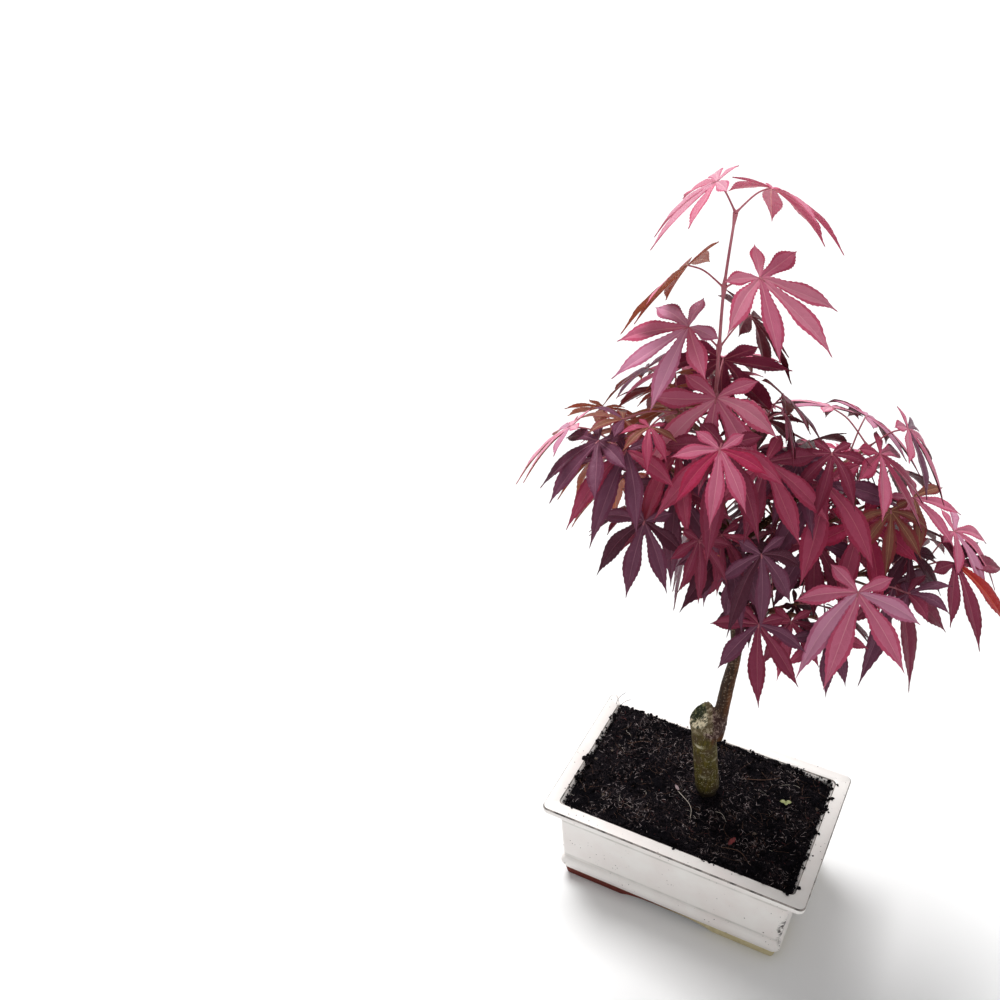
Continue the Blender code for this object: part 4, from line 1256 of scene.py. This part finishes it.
def fused(limbs):
    """Points, normals and faces of one skin over the limbs and the graft's swelling, in the plant's frame."""
    joined = bmesh.new()
    for number, (line, radii, sides) in enumerate(limbs):
        points, faces = tube(line, radii, sides)
        mesh = mesh_of("limb", points, [face for group in faces for face in group.tolist()])
        faced_outward(mesh, cut=None if number else saw_off)
        joined.from_mesh(mesh)
        bpy.data.meshes.remove(mesh)
    ball = bmesh.ops.create_icosphere(joined, subdivisions=4, radius=1)
    for corner in ball["verts"]:
        corner.co = np.array(corner.co) * UNION_SIZE + UNION_CENTRE
    mesh = bpy.data.meshes.new("wood")
    joined.to_mesh(mesh)
    joined.free()
    skin = placed("wood", mesh)
    remesh = skin.modifiers.new("fuse", "REMESH")
    remesh.mode = "VOXEL"
    remesh.voxel_size = BARK_VOXEL
    skin.modifiers.new("relax", "SMOOTH").iterations = BARK_RELAX
    result = modified(skin)
    discard(skin)
    points, normals = (np.empty(len(result.vertices) * 3) for _ in range(2))
    result.vertices.foreach_get("co", points)
    result.vertex_normals.foreach_get("vector", normals)
    faces = [tuple(face.vertices) for face in result.polygons]
    bpy.data.meshes.remove(result)
    return points.reshape(-1, 3), normals.reshape(-1, 3), faces


def bark_shares(points, normals, trunk_line, rootstock):
    """Share of each kind of bark at every point, with the share of painted light on the bark's right side,
    and how far the bark stands out from the skin there.
    """
    dice = np.random.default_rng(4)
    height = points[:, 2]
    to_stock = (points - line_at(rootstock, height))[:, :2]
    from_stock = np.linalg.norm(to_stock, axis=1)
    from_stem = np.linalg.norm((points - line_at(trunk_line, height))[:, :2], axis=1)
    past_saw = (points - SAW_POINT) @ unit(np.array(SAW_FACING))
    grain = fine_noise(points * (1, 1, 0.16), 1.1, 1)
    broad = fine_noise(points, 6.0, 2)
    lumps = fine_noise(points, 2.2, 3)
    rings = fine_noise(points * (0.25, 0.25, 1), 1.6, 4)

    scion = share_between(from_stock - from_stem, -1.5, 2.5) * share_between(height, *SCION_STARTS)
    scion = np.maximum(scion, share_between(height, *STOCK_ENDS))
    callus = 1 - share_between(np.linalg.norm((points - UNION_CENTRE) / UNION_SIZE, axis=1), 0.95, 1.45)
    collar = share_between(past_saw, -7.5, -4.5) * (1 - scion) * share_between(height, *COLLAR_STARTS)
    sawn = share_between(past_saw, -0.9, -0.2) * (1 - scion) * share_between(height, *SAW_STARTS)
    on_right = share_between(to_stock[:, 0] + 1.5 * lumps, 2.4, 4.4)
    callus = callus * (1 - sawn) + sawn * on_right
    sawn = sawn * (1 - on_right)
    stock = (1 - scion) * (1 - callus * 0.8)

    move = 0.16 * grain + 0.3 * broad * (stock + 0.3)
    move += callus * (0.8 * lumps + 0.5 * abs(grain)) + collar * (1 - sawn) * (0.25 + 0.35 * lumps)
    move += stock * (1 - share_between(height, *WRINKLES_END)) * 0.55 * rings
    move += sawn * (0.3 * grain - 0.3 * (lumps > 0.25))
    move += 0.5 * hump(past_saw + 3.2, 1.1) * stock * share_between(height, *LEDGE_STARTS)

    stock_spots = skin_places(*STOCK_LENTICELS, rootstock, np.full(len(rootstock), ROOTSTOCK_SKIN), dice)
    stem_radii = STEM_SLIM * trunk_radius(trunk_line[:, 2])
    stem_spots = np.vstack([skin_places(*zone, trunk_line, stem_radii, dice) for zone in STEM_LENTICELS])
    pale = np.maximum(0.55 * hump(closest(points, stock_spots, (1, 1, 0.7)), 0.6) * stock,
                      0.45 * hump(closest(points, stem_spots, (1, 1, 0.6)), 0.5) * scion)
    scar = hump(closest(points, SCARS, (2.2, 2.2, 1.0)), 1.3)
    move += 0.4 * pale
    move += 0.5 * scar

    # the sawn face is cream along its rim and in front
    cut_rim = sawn * share_between(from_stock, 6.2, 7.8) * share_between(-points[:, 0] - points[:, 1], 12, 18)
    frontward = SAW_POINT[1] - points[:, 1] + 0.35 * (points[:, 0] - SAW_POINT[0]) + 2.5 * lumps
    cream = np.maximum(cut_rim, sawn * share_between(frontward, 0.5, 2.5))

    # each joint of the stem is a ring with a dark groove
    joints = np.array([shoot.at for shoot in SHOOTS] + list(NODE_HEIGHTS))
    to_joint = np.min(abs(height[:, None] - joints[None]), axis=1)
    near_stem = scion * (from_stem < 6)
    move += near_stem * (0.3 * hump(to_joint, 2.4) - 0.25 * hump(to_joint, 0.5))
    dark = near_stem * 0.7 * hump(to_joint, 0.6) + stock * (1 - share_between(height, *DARK_FOOT)) * 0.85
    dark = np.maximum(dark, 1 - share_between(np.linalg.norm(points - TWIG_STUB[-1], axis=1), 7, 10))
    return {
        "scion": scion, "callus": callus, "collar": collar, "sawn": sawn, "pale": np.maximum(pale, scar),
        "specked": stock * (1 - share_between(height, *SPECKS_END)) * (0.6 + 0.8 * broad),
        # lit is painted light: bark whose normal points to the right is drawn lighter
        "cream": cream, "dark": dark, "lit": share_between(normals[:, 0], -0.3, 0.8),
    }, move


def build_wood(trunk_line, skeletons, finish):
    """Trunk and boughs with bark: ridges, lenticels, scars, a flaking union and a sawn face."""
    rootstock = smooth_line(ROOTSTOCK_LINE, LIMB_STEPS)
    points, normals, faces = fused(wood_solids(rootstock, trunk_line, skeletons))
    shares, move = bark_shares(points, normals, trunk_line, rootstock)
    points = points + normals * move[:, None]
    points[:, 2] = np.maximum(points[:, 2], LOWEST_BARK)
    piece = add_piece("bark", in_row(points), faces, [finish])
    for name, values in shares.items():
        stored = piece.data.attributes.new(name, "FLOAT", "POINT")
        stored.data.foreach_set("value", np.clip(values, 0, 1).astype(np.float32))
    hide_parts("trunk", *[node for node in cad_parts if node.startswith("bough_")])


# ---- pot, from the middle of its underside ----

GLAZE, BROKEN_GLAZE, BARE_CLAY = range(3)
RIM_CORNER = 4.6
CORNER_SHRINK = 0.1             # corners get tighter by this share of the inset
LEAST_CORNER = 1.0
CORNER_STEPS = 12
# heights with the inset of the outer face, upward, and of the inner face, downward
POT_OUTSIDE = (
    (0.0, 16.8), (0.8, 16.2), (8.0, 14.8), (9.5, 14.4),
    (12.0, 12.8), (15.5, 12.0), (19.5, 12.4), (22.5, 14.0),
    (24.0, 14.6), (25.5, 13.4), (60.0, 11.2),
    (65.5, 10.6), (70.5, 8.6), (74.5, 5.2), (77.5, 1.6),
    (79.0, 0.4), (82.8, 0.0), (84.0, 0.7),
)
FLOOR_HEIGHT = 14.0
POT_INSIDE = ((84.0, 9.6), (83.3, 10.4), (80.6, 12.3), (77.0, 12.8), (FLOOR_HEIGHT, 18.0))
SECTION_STEPS = 3
POT_SHARP = 42.0
GLAZE_BREAK = 1.4               # the glaze is broken this far down from the top
BARE_FOOT = 8.2
FOOT_WIDTH = 11.0
FOOT_HEIGHT = 6.0
RECESS_START = -6.0             # the cuts start below the underside
ARCH_START = -3.0
ARCH_HALF_LENGTH = 37.0
ARCH_HALF_DEPTH = 20.0
ARCH_POINTS = 33
DRAIN_RADIUS = 6.0
DRAIN_SPACING = 84.0
DRAIN_POINTS = 48


def rounded_ring(inset, height):
    """Rounded rectangle, set in from the pot's rim."""
    half_length, half_depth = POT_LENGTH / 2 - inset, POT_DEPTH / 2 - inset
    corner = max(LEAST_CORNER, RIM_CORNER - CORNER_SHRINK * inset)
    ring = []
    for quarter, (side_x, side_y) in enumerate(((1, 1), (-1, 1), (-1, -1), (1, -1))):
        for step in range(CORNER_STEPS + 1):
            turn = pi / 2 * (quarter + step / CORNER_STEPS)
            ring.append((side_x * (half_length - corner) + corner * cos(turn),
                         side_y * (half_depth - corner) + corner * sin(turn), height))
    return np.array(ring)


def lofted(name, rings, materials=(), slots=None):
    """A closed mesh through rings of equal count in the pot's frame."""
    count, size = len(rings), len(rings[0])
    faces = quad_rings(count, size).tolist() + [cap[0].tolist() for cap in end_caps(count, size)]
    return mesh_of(name, (np.vstack(rings) + POT_MIDDLE) * MM, faces, materials, slots)


def band_slots(section):
    """Slot of each band of the pot's section."""
    slots = []
    for band, ((low, _), (high, _)) in enumerate(zip(section, section[1:])):
        middle = (low + high) / 2
        if band < len(section) - len(POT_INSIDE) and middle < BARE_FOOT:
            slots.append(BARE_CLAY)
        elif low != high and middle > POT_HEIGHT - GLAZE_BREAK:
            slots.append(BROKEN_GLAZE)
        else:
            slots.append(GLAZE)
    return slots


def pot_cuts():
    """Rings of each cut under the pot: the recess, the arches through its sides and the drain holes."""
    cuts = [[rounded_ring(POT_OUTSIDE[0][1] + FOOT_WIDTH, height) for height in (RECESS_START, FOOT_HEIGHT)]]
    arches = (ARCH_HALF_LENGTH, POT_DEPTH, False), (ARCH_HALF_DEPTH, POT_LENGTH, True)
    for half_span, reach, turned in arches:
        spans = np.linspace(-half_span, half_span, ARCH_POINTS)
        outline = [(span, FOOT_HEIGHT * (1 - abs(span / half_span) ** 4)) for span in spans]
        outline += [(half_span, ARCH_START), (-half_span, ARCH_START)]
        cuts.append([
            np.array([(way, span, height) if turned else (span, way, height) for span, height in outline])
            for way in (-reach, reach)
        ])
    turns = np.arange(DRAIN_POINTS) * pi / (DRAIN_POINTS / 2)
    for side in (-1, 1):
        across = side * DRAIN_SPACING / 2 + DRAIN_RADIUS * np.cos(turns)
        cuts.append([np.stack((across, DRAIN_RADIUS * np.sin(turns), np.full(DRAIN_POINTS, height)), axis=1)
                     for height in (0, 2 * FLOOR_HEIGHT)])
    return cuts


def build_pot(finishes):
    """The glazed pot, lofted from its section, with its underside cut away to feet."""
    outside = smooth_line([(height, inset, 0) for height, inset in POT_OUTSIDE], SECTION_STEPS)
    section = outside[:, :2].tolist() + list(POT_INSIDE)
    rings = [rounded_ring(inset, height) for height, inset in section]
    slots = np.repeat(band_slots(section), len(rings[0])).tolist() + [BARE_CLAY, GLAZE]
    pot = placed("pot_glazed", lofted("pot_body", rings, finishes, slots))
    cutters = []
    for cut in pot_cuts():
        cutter = placed("cutter", lofted("cutter", cut))
        faced_outward(cutter.data)
        boolean = pot.modifiers.new("cut", "BOOLEAN")
        boolean.object = cutter
        boolean.operation = "DIFFERENCE"
        boolean.solver = "EXACT"
        cutters.append(cutter)
    whole, result = pot.data, modified(pot)
    pot.modifiers.clear()
    pot.data = result
    bpy.data.meshes.remove(whole)
    for cutter in cutters:
        discard(cutter)
    smoothed(result, POT_SHARP)
    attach(pot, "root")
    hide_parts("pot")


# ---- compost ----

BED = np.array((POT_LENGTH, POT_DEPTH)) / 2 - 12.3      # half of the compost's surface, across and back
WALL_INSET = 12.0
SOIL_EDGE = 80.3
ON_RIM = 84.2                   # height of a crumb that lies on the pot's lip
SOIL_GRID = 0.9
# the hollow ring round the trunk and the mound at its foot: height, distance from its middle, and width
HOLLOW = (1.2, 24, 9)
FOOT_MOUND = (1.4, 0, 14)
# the heap at the back left, and the bank along the back
HEAP_HEIGHT, HEAP_CENTRE, HEAP_REACH = 3.4, (-62, 46), (34, 20)
BANK_HEIGHT, BANK_PLACE, BANK_WIDTH = 1.6, 48, 10
CRUMBS = 3000
FIBRES = 500
SHREDS = 7600
EDGE_CRUMBS = 1300
HEAPED_CRUMBS = 900             # along the back edge, where the compost lies over the rim
EDGE_CLODS = 34
LUMP_STRAY = (0.5, 1.3)
CRUMBS_CLEAR, FIBRES_CLEAR, SHREDS_CLEAR = 12, 13, 11   # clear of the trunk's middle
FIBRE_MARGIN = 4
FIBRE_STEPS = 7
ROOT_STEPS = 6
PALE_PATCH = 22.0               # size of the patches where shreds are paler
# single roots on the compost: both ends, how far the middle strays, radius, and a colour's number
LAID_ROOTS = (
    ((-14, -6, 83.2), (3, -28, 80.6), (4.5, 1.5, 1.2), 0.18, 2),
    ((13, -10.5, 80.6), (27, -15.5, 81.4), (1.5, 2.2, 1.6), 0.17, 2),
    ((8, 24, 84), (18, 38, 86), (1.5, 0, 2.0), 0.22, 0),
    ((10, 46, 82), (30, 57, 86.4), (2, 1, 2.4), 0.16, 0),
    ((46, 50, 82), (60, 58, 86.0), (1, 2, 1.4), 0.14, 0),
    ((-92, 56, 80), (-86, 62, 96), (-2.0, 0, 1.0), 0.22, 0),
    ((-91, 56, 80), (-80, 58, 94), (0.5, 0, 2.5), 0.2, 0),
    ((-90, 55, 80), (-93, 60, 91), (2.0, 0, 0.5), 0.18, 0),
    ((-93, 56, 82), (-60, 44, 83.0), (0, -3, 2.0), 0.2, 1),
    ((-70, 20, 82), (-44, 34, 82.6), (0, 2, 1.6), 0.2, 1),
    ((26, 30, 82), (52, 44, 83), (2, -3, 2.0), 0.22, 1),
    ((30, -40, 82), (55, -46, 82.4), (2, 4, 1.4), 0.2, 1),
)


def soil_height(x, y):
    """Height of the compost over the pot's underside; it sinks towards the wall."""
    to_side = POT_LENGTH / 2 - WALL_INSET - abs(x)
    to_edge = np.minimum(to_side, POT_DEPTH / 2 - WALL_INSET - abs(y))
    to_trunk = np.hypot(x - TRUNK_FOOT[0], y - TRUNK_FOOT[1])
    height = SOIL_EDGE + 0.6 - HOLLOW[0] * hump(to_trunk - HOLLOW[1], HOLLOW[2])
    height = height + FOOT_MOUND[0] * hump(to_trunk - FOOT_MOUND[1], FOOT_MOUND[2])
    height = height + HEAP_HEIGHT * mound(x, y, HEAP_CENTRE, HEAP_REACH)
    height = height + BANK_HEIGHT * hump(y - BANK_PLACE, BANK_WIDTH)
    return height - 1.0 * hump(np.maximum(to_edge, 0), 3.5) - 1.6 * hump(np.maximum(to_side, 0), 5)


def build_ground(finish):
    """The compost's lumpy surface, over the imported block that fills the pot."""
    columns, rows = (BED * 2 / SOIL_GRID).astype(int)
    across, back = np.linspace(-BED[0], BED[0], columns), np.linspace(-BED[1], BED[1], rows)
    x, y = (axis.ravel() for axis in np.meshgrid(across, back, indexing="ij"))
    flat = np.stack((x, y, np.zeros_like(x)), axis=1)
    height = soil_height(x, y) + 1.6 * fine_noise(flat, 8, 11) + 1.8 * fine_noise(flat, 3.4, 12)
    height += 2.0 * abs(fine_noise(flat, 1.9, 13)) + 0.8 * fine_noise(flat, 1.1, 14)
    at_edge = np.maximum(abs(x) / BED[0], abs(y) / BED[1]) ** 20
    height += 1.8 * at_edge * fine_noise(flat, 7, 15)
    a = (np.arange(columns - 1)[:, None] * rows + np.arange(rows - 1)).ravel()
    quads = np.stack((a, a + rows, a + rows + 1, a + 1), axis=1)
    points = np.stack((x, y, height), axis=1) + POT_MIDDLE
    add_piece("compost_surface", points, quads.tolist(), [finish], sharp=180)


class Crumbs(Bundle):
    """Rough lumps, each with its corners moved in or out at random."""

    def __init__(self):
        super().__init__()
        ball = bmesh.new()
        bmesh.ops.create_icosphere(ball, subdivisions=1, radius=1)
        self.corners = np.array([corner.co for corner in ball.verts])
        self.sides = [np.array([[corner.index for corner in face.verts] for face in ball.faces])]
        ball.free()

    def lump(self, dice):
        return self.corners * dice.uniform(*LUMP_STRAY, (len(self.corners), 1))

    def drop(self, shape, at, slot):
        self.add(shape + at + POT_MIDDLE, self.sides, slot)


def scattered(count, clear, dice, margin=0):
    """Random places on the compost that keep clear of the trunk."""
    for _ in range(count):
        x, y = (dice.uniform(-half + margin, half - margin) for half in BED)
        if hypot(x - TRUNK_FOOT[0], y - TRUNK_FOOT[1]) >= clear:
            yield x, y


def kept_in(line):
    """The line, with every point over the compost."""
    line[:, :2] = np.clip(line[:, :2], -BED, BED)
    return line


def towards_edge(turn):
    """The place on the edge of the compost that lies that way from its middle."""
    way = np.array((cos(turn), sin(turn)))
    return way / max(abs(way) / BED)


def curly_line(start, length, dice, rise=0.12):
    """A thin root's wandering line from a starting point."""
    turn, bend = dice.uniform(0, 2 * pi), dice.normal(0, 0.14)
    line = [np.array(start, float)]
    for step in range(FIBRE_STEPS):
        turn += bend + dice.uniform(-0.25, 0.25)
        slope = rise * sin(pi * step / (FIBRE_STEPS - 1)) + dice.uniform(-0.12, 0.08)
        line.append(line[-1] + length / FIBRE_STEPS * np.array((cos(turn), sin(turn), slope)))
    return np.array(line)


def scatter_crumbs(crumbs, dice):
    for x, y in scattered(CRUMBS, CRUMBS_CLEAR, dice):
        size = dice.uniform(0.3, 0.9) * dice.choice((1, 1, 1, 1.8))
        shape = crumbs.lump(dice) * size * dice.uniform(0.6, 1.4, 3)
        at = (x, y, soil_height(x, y) + dice.uniform(-0.2, 1.6))
        crumbs.drop(shape, at, dice.choice(3, p=(0.64, 0.34, 0.02)))


def scatter_fibres(fibres, dice):
    for x, y in scattered(FIBRES, FIBRES_CLEAR, dice, FIBRE_MARGIN):
        start = (x, y, soil_height(x, y) + dice.uniform(0.6, 1.8))
        line = kept_in(curly_line(start, dice.uniform(3, 16), dice))
        radius = dice.uniform(0.06, 0.13)
        slot = dice.choice(3, p=(0.62, 0.35, 0.03))
        fibres.add_tube(line, np.linspace(radius, radius * 0.5, len(line)), 4, slot)


def scatter_shreds(shreds, dice):
    """Short splinters, more of them pale in patches and on the heap."""
    for x, y in scattered(SHREDS, SHREDS_CLEAR, dice):
        turn, length = dice.uniform(0, 2 * pi), dice.uniform(0.8, 4.2)
        way = np.array((cos(turn), sin(turn), dice.normal(0, 0.25))) * length / 2
        middle = np.array((x, y, soil_height(x, y) + dice.uniform(0.4, 2.2)))
        bent = middle + (*dice.normal(0, 0.18, 2) * length, 0.1)
        line = kept_in(np.array((middle - way, bent, middle + way)))
        radius = dice.uniform(0.08, 0.19)
        patch = noise.noise(Vector((x / PALE_PATCH, y / PALE_PATCH, 5.0)))
        share = np.clip(0.3 + 0.9 * patch + 0.35 * mound(x, y, (-60, 36), (36, 24)), 0.08, 0.8)
        slot = dice.choice(4, p=(0.98 - share, share * 0.55, share * 0.45, 0.02))
        shreds.add_tube(line, (radius * 0.5, radius, radius * 0.4), 3, slot)


def spill_crumbs(crumbs, dice):
    """Crumbs along the compost's edge, some of them up on the rim."""
    for _ in range(EDGE_CRUMBS):
        way = towards_edge(dice.uniform(0, 2 * pi))
        spill = 0.4 + 2.6 * max(0, noise.noise(Vector((*(way / 9), 3.0))))
        outward = abs(dice.normal(0, spill)) - 0.6
        height = 81.4 + dice.uniform(0, 2.2) if outward < 0.4 else ON_RIM
        shape = crumbs.lump(dice) * dice.uniform(0.25, 0.9)
        crumbs.drop(shape, (*(way * (1 + outward / BED[1])), height), dice.choice(3, p=(0.85, 0.15, 0)))


def heap_crumbs(crumbs, dice):
    """Crumbs along the back edge, heaped at its left end."""
    for _ in range(HEAPED_CRUMBS):
        along = dice.uniform(-1, 0.75) * BED[0]
        ragged = max(0, noise.noise(Vector((along / 9, 2.0, 8.0))))
        reach = 2.4 * hump(along + 66, 26) + 1.4 * ragged + 0.6
        at = (along, BED[1] + min(3.4, dice.uniform(-2, 1) * reach), 83.0 + dice.uniform(0, 0.8) * reach)
        shape = crumbs.lump(dice) * dice.uniform(0.5, 1.5)
        crumbs.drop(shape, at, dice.choice(3, p=(0.8, 0.2, 0)))


def cluster_clods(crumbs, dice):
    """Clods of dark lumps along the edge."""
    for _ in range(EDGE_CLODS):
        way = towards_edge(dice.uniform(0, 2 * pi))
        for _ in range(dice.integers(5, 14)):
            at = way + dice.normal(0, 2.0, 2)
            shape = crumbs.lump(dice) * dice.uniform(0.6, 2.0)
            crumbs.drop(shape, (*at, 82.6 + dice.uniform(0, 1.8)), 0)


def build_soil(dark, finishes):
    """Loose compost: its surface, crumbs, splinters, fibres and a few single roots."""
    build_ground(dark)
    dice = np.random.default_rng(21)
    crumbs, fibres, shreds = Crumbs(), Bundle(), Bundle()
    scatter_crumbs(crumbs, dice)
    scatter_fibres(fibres, dice)
    scatter_shreds(shreds, dice)
    spill_crumbs(crumbs, dice)
    heap_crumbs(crumbs, dice)
    cluster_clods(crumbs, dice)
    for start, end, bow, radius, slot in LAID_ROOTS:
        line = smooth_line((start, (np.array(start) + end) / 2 + bow, end), ROOT_STEPS)
        fibres.add_tube(line, np.linspace(radius, radius * 0.6, len(line)), 6, slot)
    for bundle, name in ((crumbs, "compost_crumbs"), (fibres, "compost_fibres"), (shreds, "compost_shreds")):
        bundle.piece(name, finishes[name])


# ---- scraps on the compost, in the pot's frame ----

SEEDLING_FOOT = np.array((61.5, 21.0, 80.6))
SEEDLING_STEM = (0, (0.4, -0.5, 2.5), (0, -1.2, 4.4))   # places from its foot
SEEDLING_TOP = (0, -1.2, 4.3)
SEEDLING_LEAVES = ((200, 4.6), (20, 4.2), (-75, 3.0))   # heading and length
FLAKE_COLUMNS = (-1, -0.5, 0, 0.5, 1)
FLAKE_ROWS = 9
FLAKE_THICKNESS = 0.18
# base, way, upper side, length, width, curl and slot of the scrap of red leaf and of the pale sliver
FLAKES = (
    ((35.0, -36.0, 82.6), (0.45, 0.9, 0.25), (0.5, -0.4, 1), 8.5, 3.6, 1.5, 1),
    ((-18.5, -1.0, 83.4), (0.7, -0.7, 0.1), (0.2, -0.5, 1), 6.5, 2.2, 0.2, 2),
)


def flat_leaf(base, way, up, length, width, curl):
    """A small pointed leaf or flake, with two sides, from its base along a direction."""
    way, up = unit(np.array(way, float)), np.array(up, float)
    across = unit(np.cross(up, way))
    up = np.cross(way, across)
    places = np.linspace(0, 1, FLAKE_ROWS)
    half = width / 2 * np.sin(pi * np.clip(places * 0.98 + 0.02, 0, 1)) ** 0.8
    lines = []
    for side in FLAKE_COLUMNS:
        lift = 0.12 * width * abs(side) - curl * places**2
        flat = np.outer(places * length, way) + np.outer(half * side, across)
        lines.append(base + flat + np.outer(lift, up))
    top = np.stack(lines, axis=1).reshape(-1, 3)
    count, size = len(top), len(FLAKE_COLUMNS)
    row, column = np.meshgrid(np.arange(FLAKE_ROWS - 1), np.arange(size - 1), indexing="ij")
    a = (row * size + column).ravel()
    upper = np.stack((a, a + size, a + size + 1, a + 1), axis=1)
    ring = np.concatenate((np.arange(size), np.arange(2 * size - 1, count, size),
                           np.arange(count - 2, count - size - 1, -1),
                           np.arange(count - 2 * size, 0, -size)))
    step = np.roll(ring, -1)
    rim = np.stack((ring, step, step + count, ring + count), axis=1)
    return np.vstack((top, top - up * FLAKE_THICKNESS)) + POT_MIDDLE, (upper, upper[:, ::-1] + count, rim)


def build_litter(finishes):
    """A seedling, a scrap of red leaf and a pale sliver on the compost."""
    scraps = Bundle()
    stem = smooth_line([SEEDLING_FOOT + place for place in SEEDLING_STEM], 4)
    scraps.add_tube(stem, np.linspace(0.4, 0.28, len(stem)), 6, 0)
    for turn, length in SEEDLING_LEAVES:
        scraps.add(*flat_leaf(SEEDLING_FOOT + SEEDLING_TOP, compass(turn, 12), UP, length, 3.2, 0.8), 0)
    for base, way, up, length, width, curl, slot in FLAKES:
        scraps.add(*flat_leaf(np.array(base), way, up, length, width, curl), slot)
    scraps.piece("compost_scraps", finishes)


# ---- the picture's stage ----

FLOOR_HALF = 6.0                # metres
SURROUND = 0.46
SUN_WAY = (-0.42, 0.30, 1.0)    # from the part towards the light
SUN_POWER = 3.05
SUN_SPREAD = 30.0               # degrees across, for soft shadows
CAMERA_PLACE = (145.5, -608.3, 777.8)   # from the middle of the pot's underside
CAMERA_TURN = (55.07, 0, 27.4)
CAMERA_LENS = 42.5


def build_stage():
    """A pale floor, a soft pale surround and one large soft light."""
    corners = np.array([(x, y, 0) for x, y in ((-1, -1), (1, -1), (1, 1), (-1, 1))]) * FLOOR_HALF
    finish = Finish("floor_paint", (240, 240, 240), 0.9, Specular_IOR_Level=0.2)
    finish.rough(finish.noise(40.0), 0.85, 0.95)
    placed("floor", mesh_of("floor", corners, [(0, 1, 2, 3)], [finish.material]))

    scene = bpy.context.scene
    scene.world = bpy.data.worlds.new("surround")
    scene.world.use_nodes = True
    background = scene.world.node_tree.nodes["Background"]
    background.inputs["Color"].default_value = (1.0, 1.0, 1.0, 1.0)
    background.inputs["Strength"].default_value = SURROUND
    lamp = bpy.data.lights.new("sky_panel", "SUN")
    lamp.energy = SUN_POWER
    lamp.angle = radians(SUN_SPREAD)
    light = placed("sky_panel", lamp)
    light.rotation_euler = Vector(SUN_WAY).to_track_quat("Z", "Y").to_euler()
    light.location = (0, 0, 2)

    lens = bpy.data.cameras.new("camera")
    lens.lens = CAMERA_LENS
    camera = placed("camera", lens)
    camera.location = ((POT_MIDDLE + CAMERA_PLACE) * MM).tolist()
    camera.rotation_euler = [radians(turn) for turn in CAMERA_TURN]
    scene.camera = camera
    scene.view_settings.view_transform = "Standard"
    scene.view_settings.exposure = 0.0


# ---- the whole plant ----

def build_crown(skeletons, limbs):
    """Grows every mass's large leaves first, then its small ones, and builds its pieces."""
    finishes = {
        "leaves": leaf_finishes(),
        "twigs": [twig_finish("young_stem", (112, 70, 58), (150, 110, 84), 0.45),
                  twig_finish("petiole", (168, 88, 104), (196, 118, 128), 0.35)],
    }
    makers = LeafMaker(*LARGE_LEAF), LeafMaker(*SMALL_LEAF)
    taken, grown = [], {}
    for shoot in SHOOTS:
        grown[shoot.name], kept = grow_leaves(shoot, skeletons[shoot.name][3], limbs, taken, shoot.seed)
        taken += kept
    for shoot in SHOOTS:
        parts = skeletons[shoot.name]
        small = grow_small(shoot, parts[1], limbs, taken)
        build_foliage(shoot, parts, grown[shoot.name], small, makers, finishes)


def loose_finishes(dark):
    """The finishes of each loose piece on the compost; its first slot is the dark compost."""
    return {
        "compost_crumbs": [dark, compost_finish("crumb_brown", (26, 20, 24), (100, 84, 84)),
                           compost_finish("crumb_pale", (96, 84, 76), (140, 126, 112))],
        "compost_shreds": [dark, plain_finish("shred_brown", (60, 48, 50), (98, 80, 78), 2.0, 0.8),
                           plain_finish("shred_grey", (138, 126, 128), (184, 170, 168), 2.0, 0.8),
                           plain_finish("shred_red", (84, 34, 38), (110, 56, 50), 2.0, 0.7)],
        "compost_fibres": [dark, plain_finish("fibre_brown", (84, 56, 46), (120, 88, 70), 3.0, 0.7),
                           plain_finish("fibre_pale", (204, 192, 180), (226, 216, 202), 3.0, 0.7)],
    }


def main():
    trunk_line, skeletons, limbs = grow_limbs()
    build_crown(skeletons, limbs)
    build_wood(trunk_line, skeletons, bark_finish())
    build_pot([glaze_finish(), broken_glaze_finish(), clay_finish()])
    build_litter([plain_finish("seedling_green", (134, 142, 84), (176, 180, 128), 1.5, 0.5),
                  plain_finish("leaf_scrap_red", (92, 22, 26), (132, 42, 42), 2.0, 0.45),
                  plain_finish("sliver_pale", (122, 102, 108), (150, 130, 130), 1.5, 0.6)])
    dark = compost_finish("compost_detailed", (8, 6, 12), (72, 62, 66))
    build_soil(dark, loose_finishes(dark))
    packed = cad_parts["soil"].data.materials
    packed.clear()
    packed.append(dark)
    build_stage()


main()
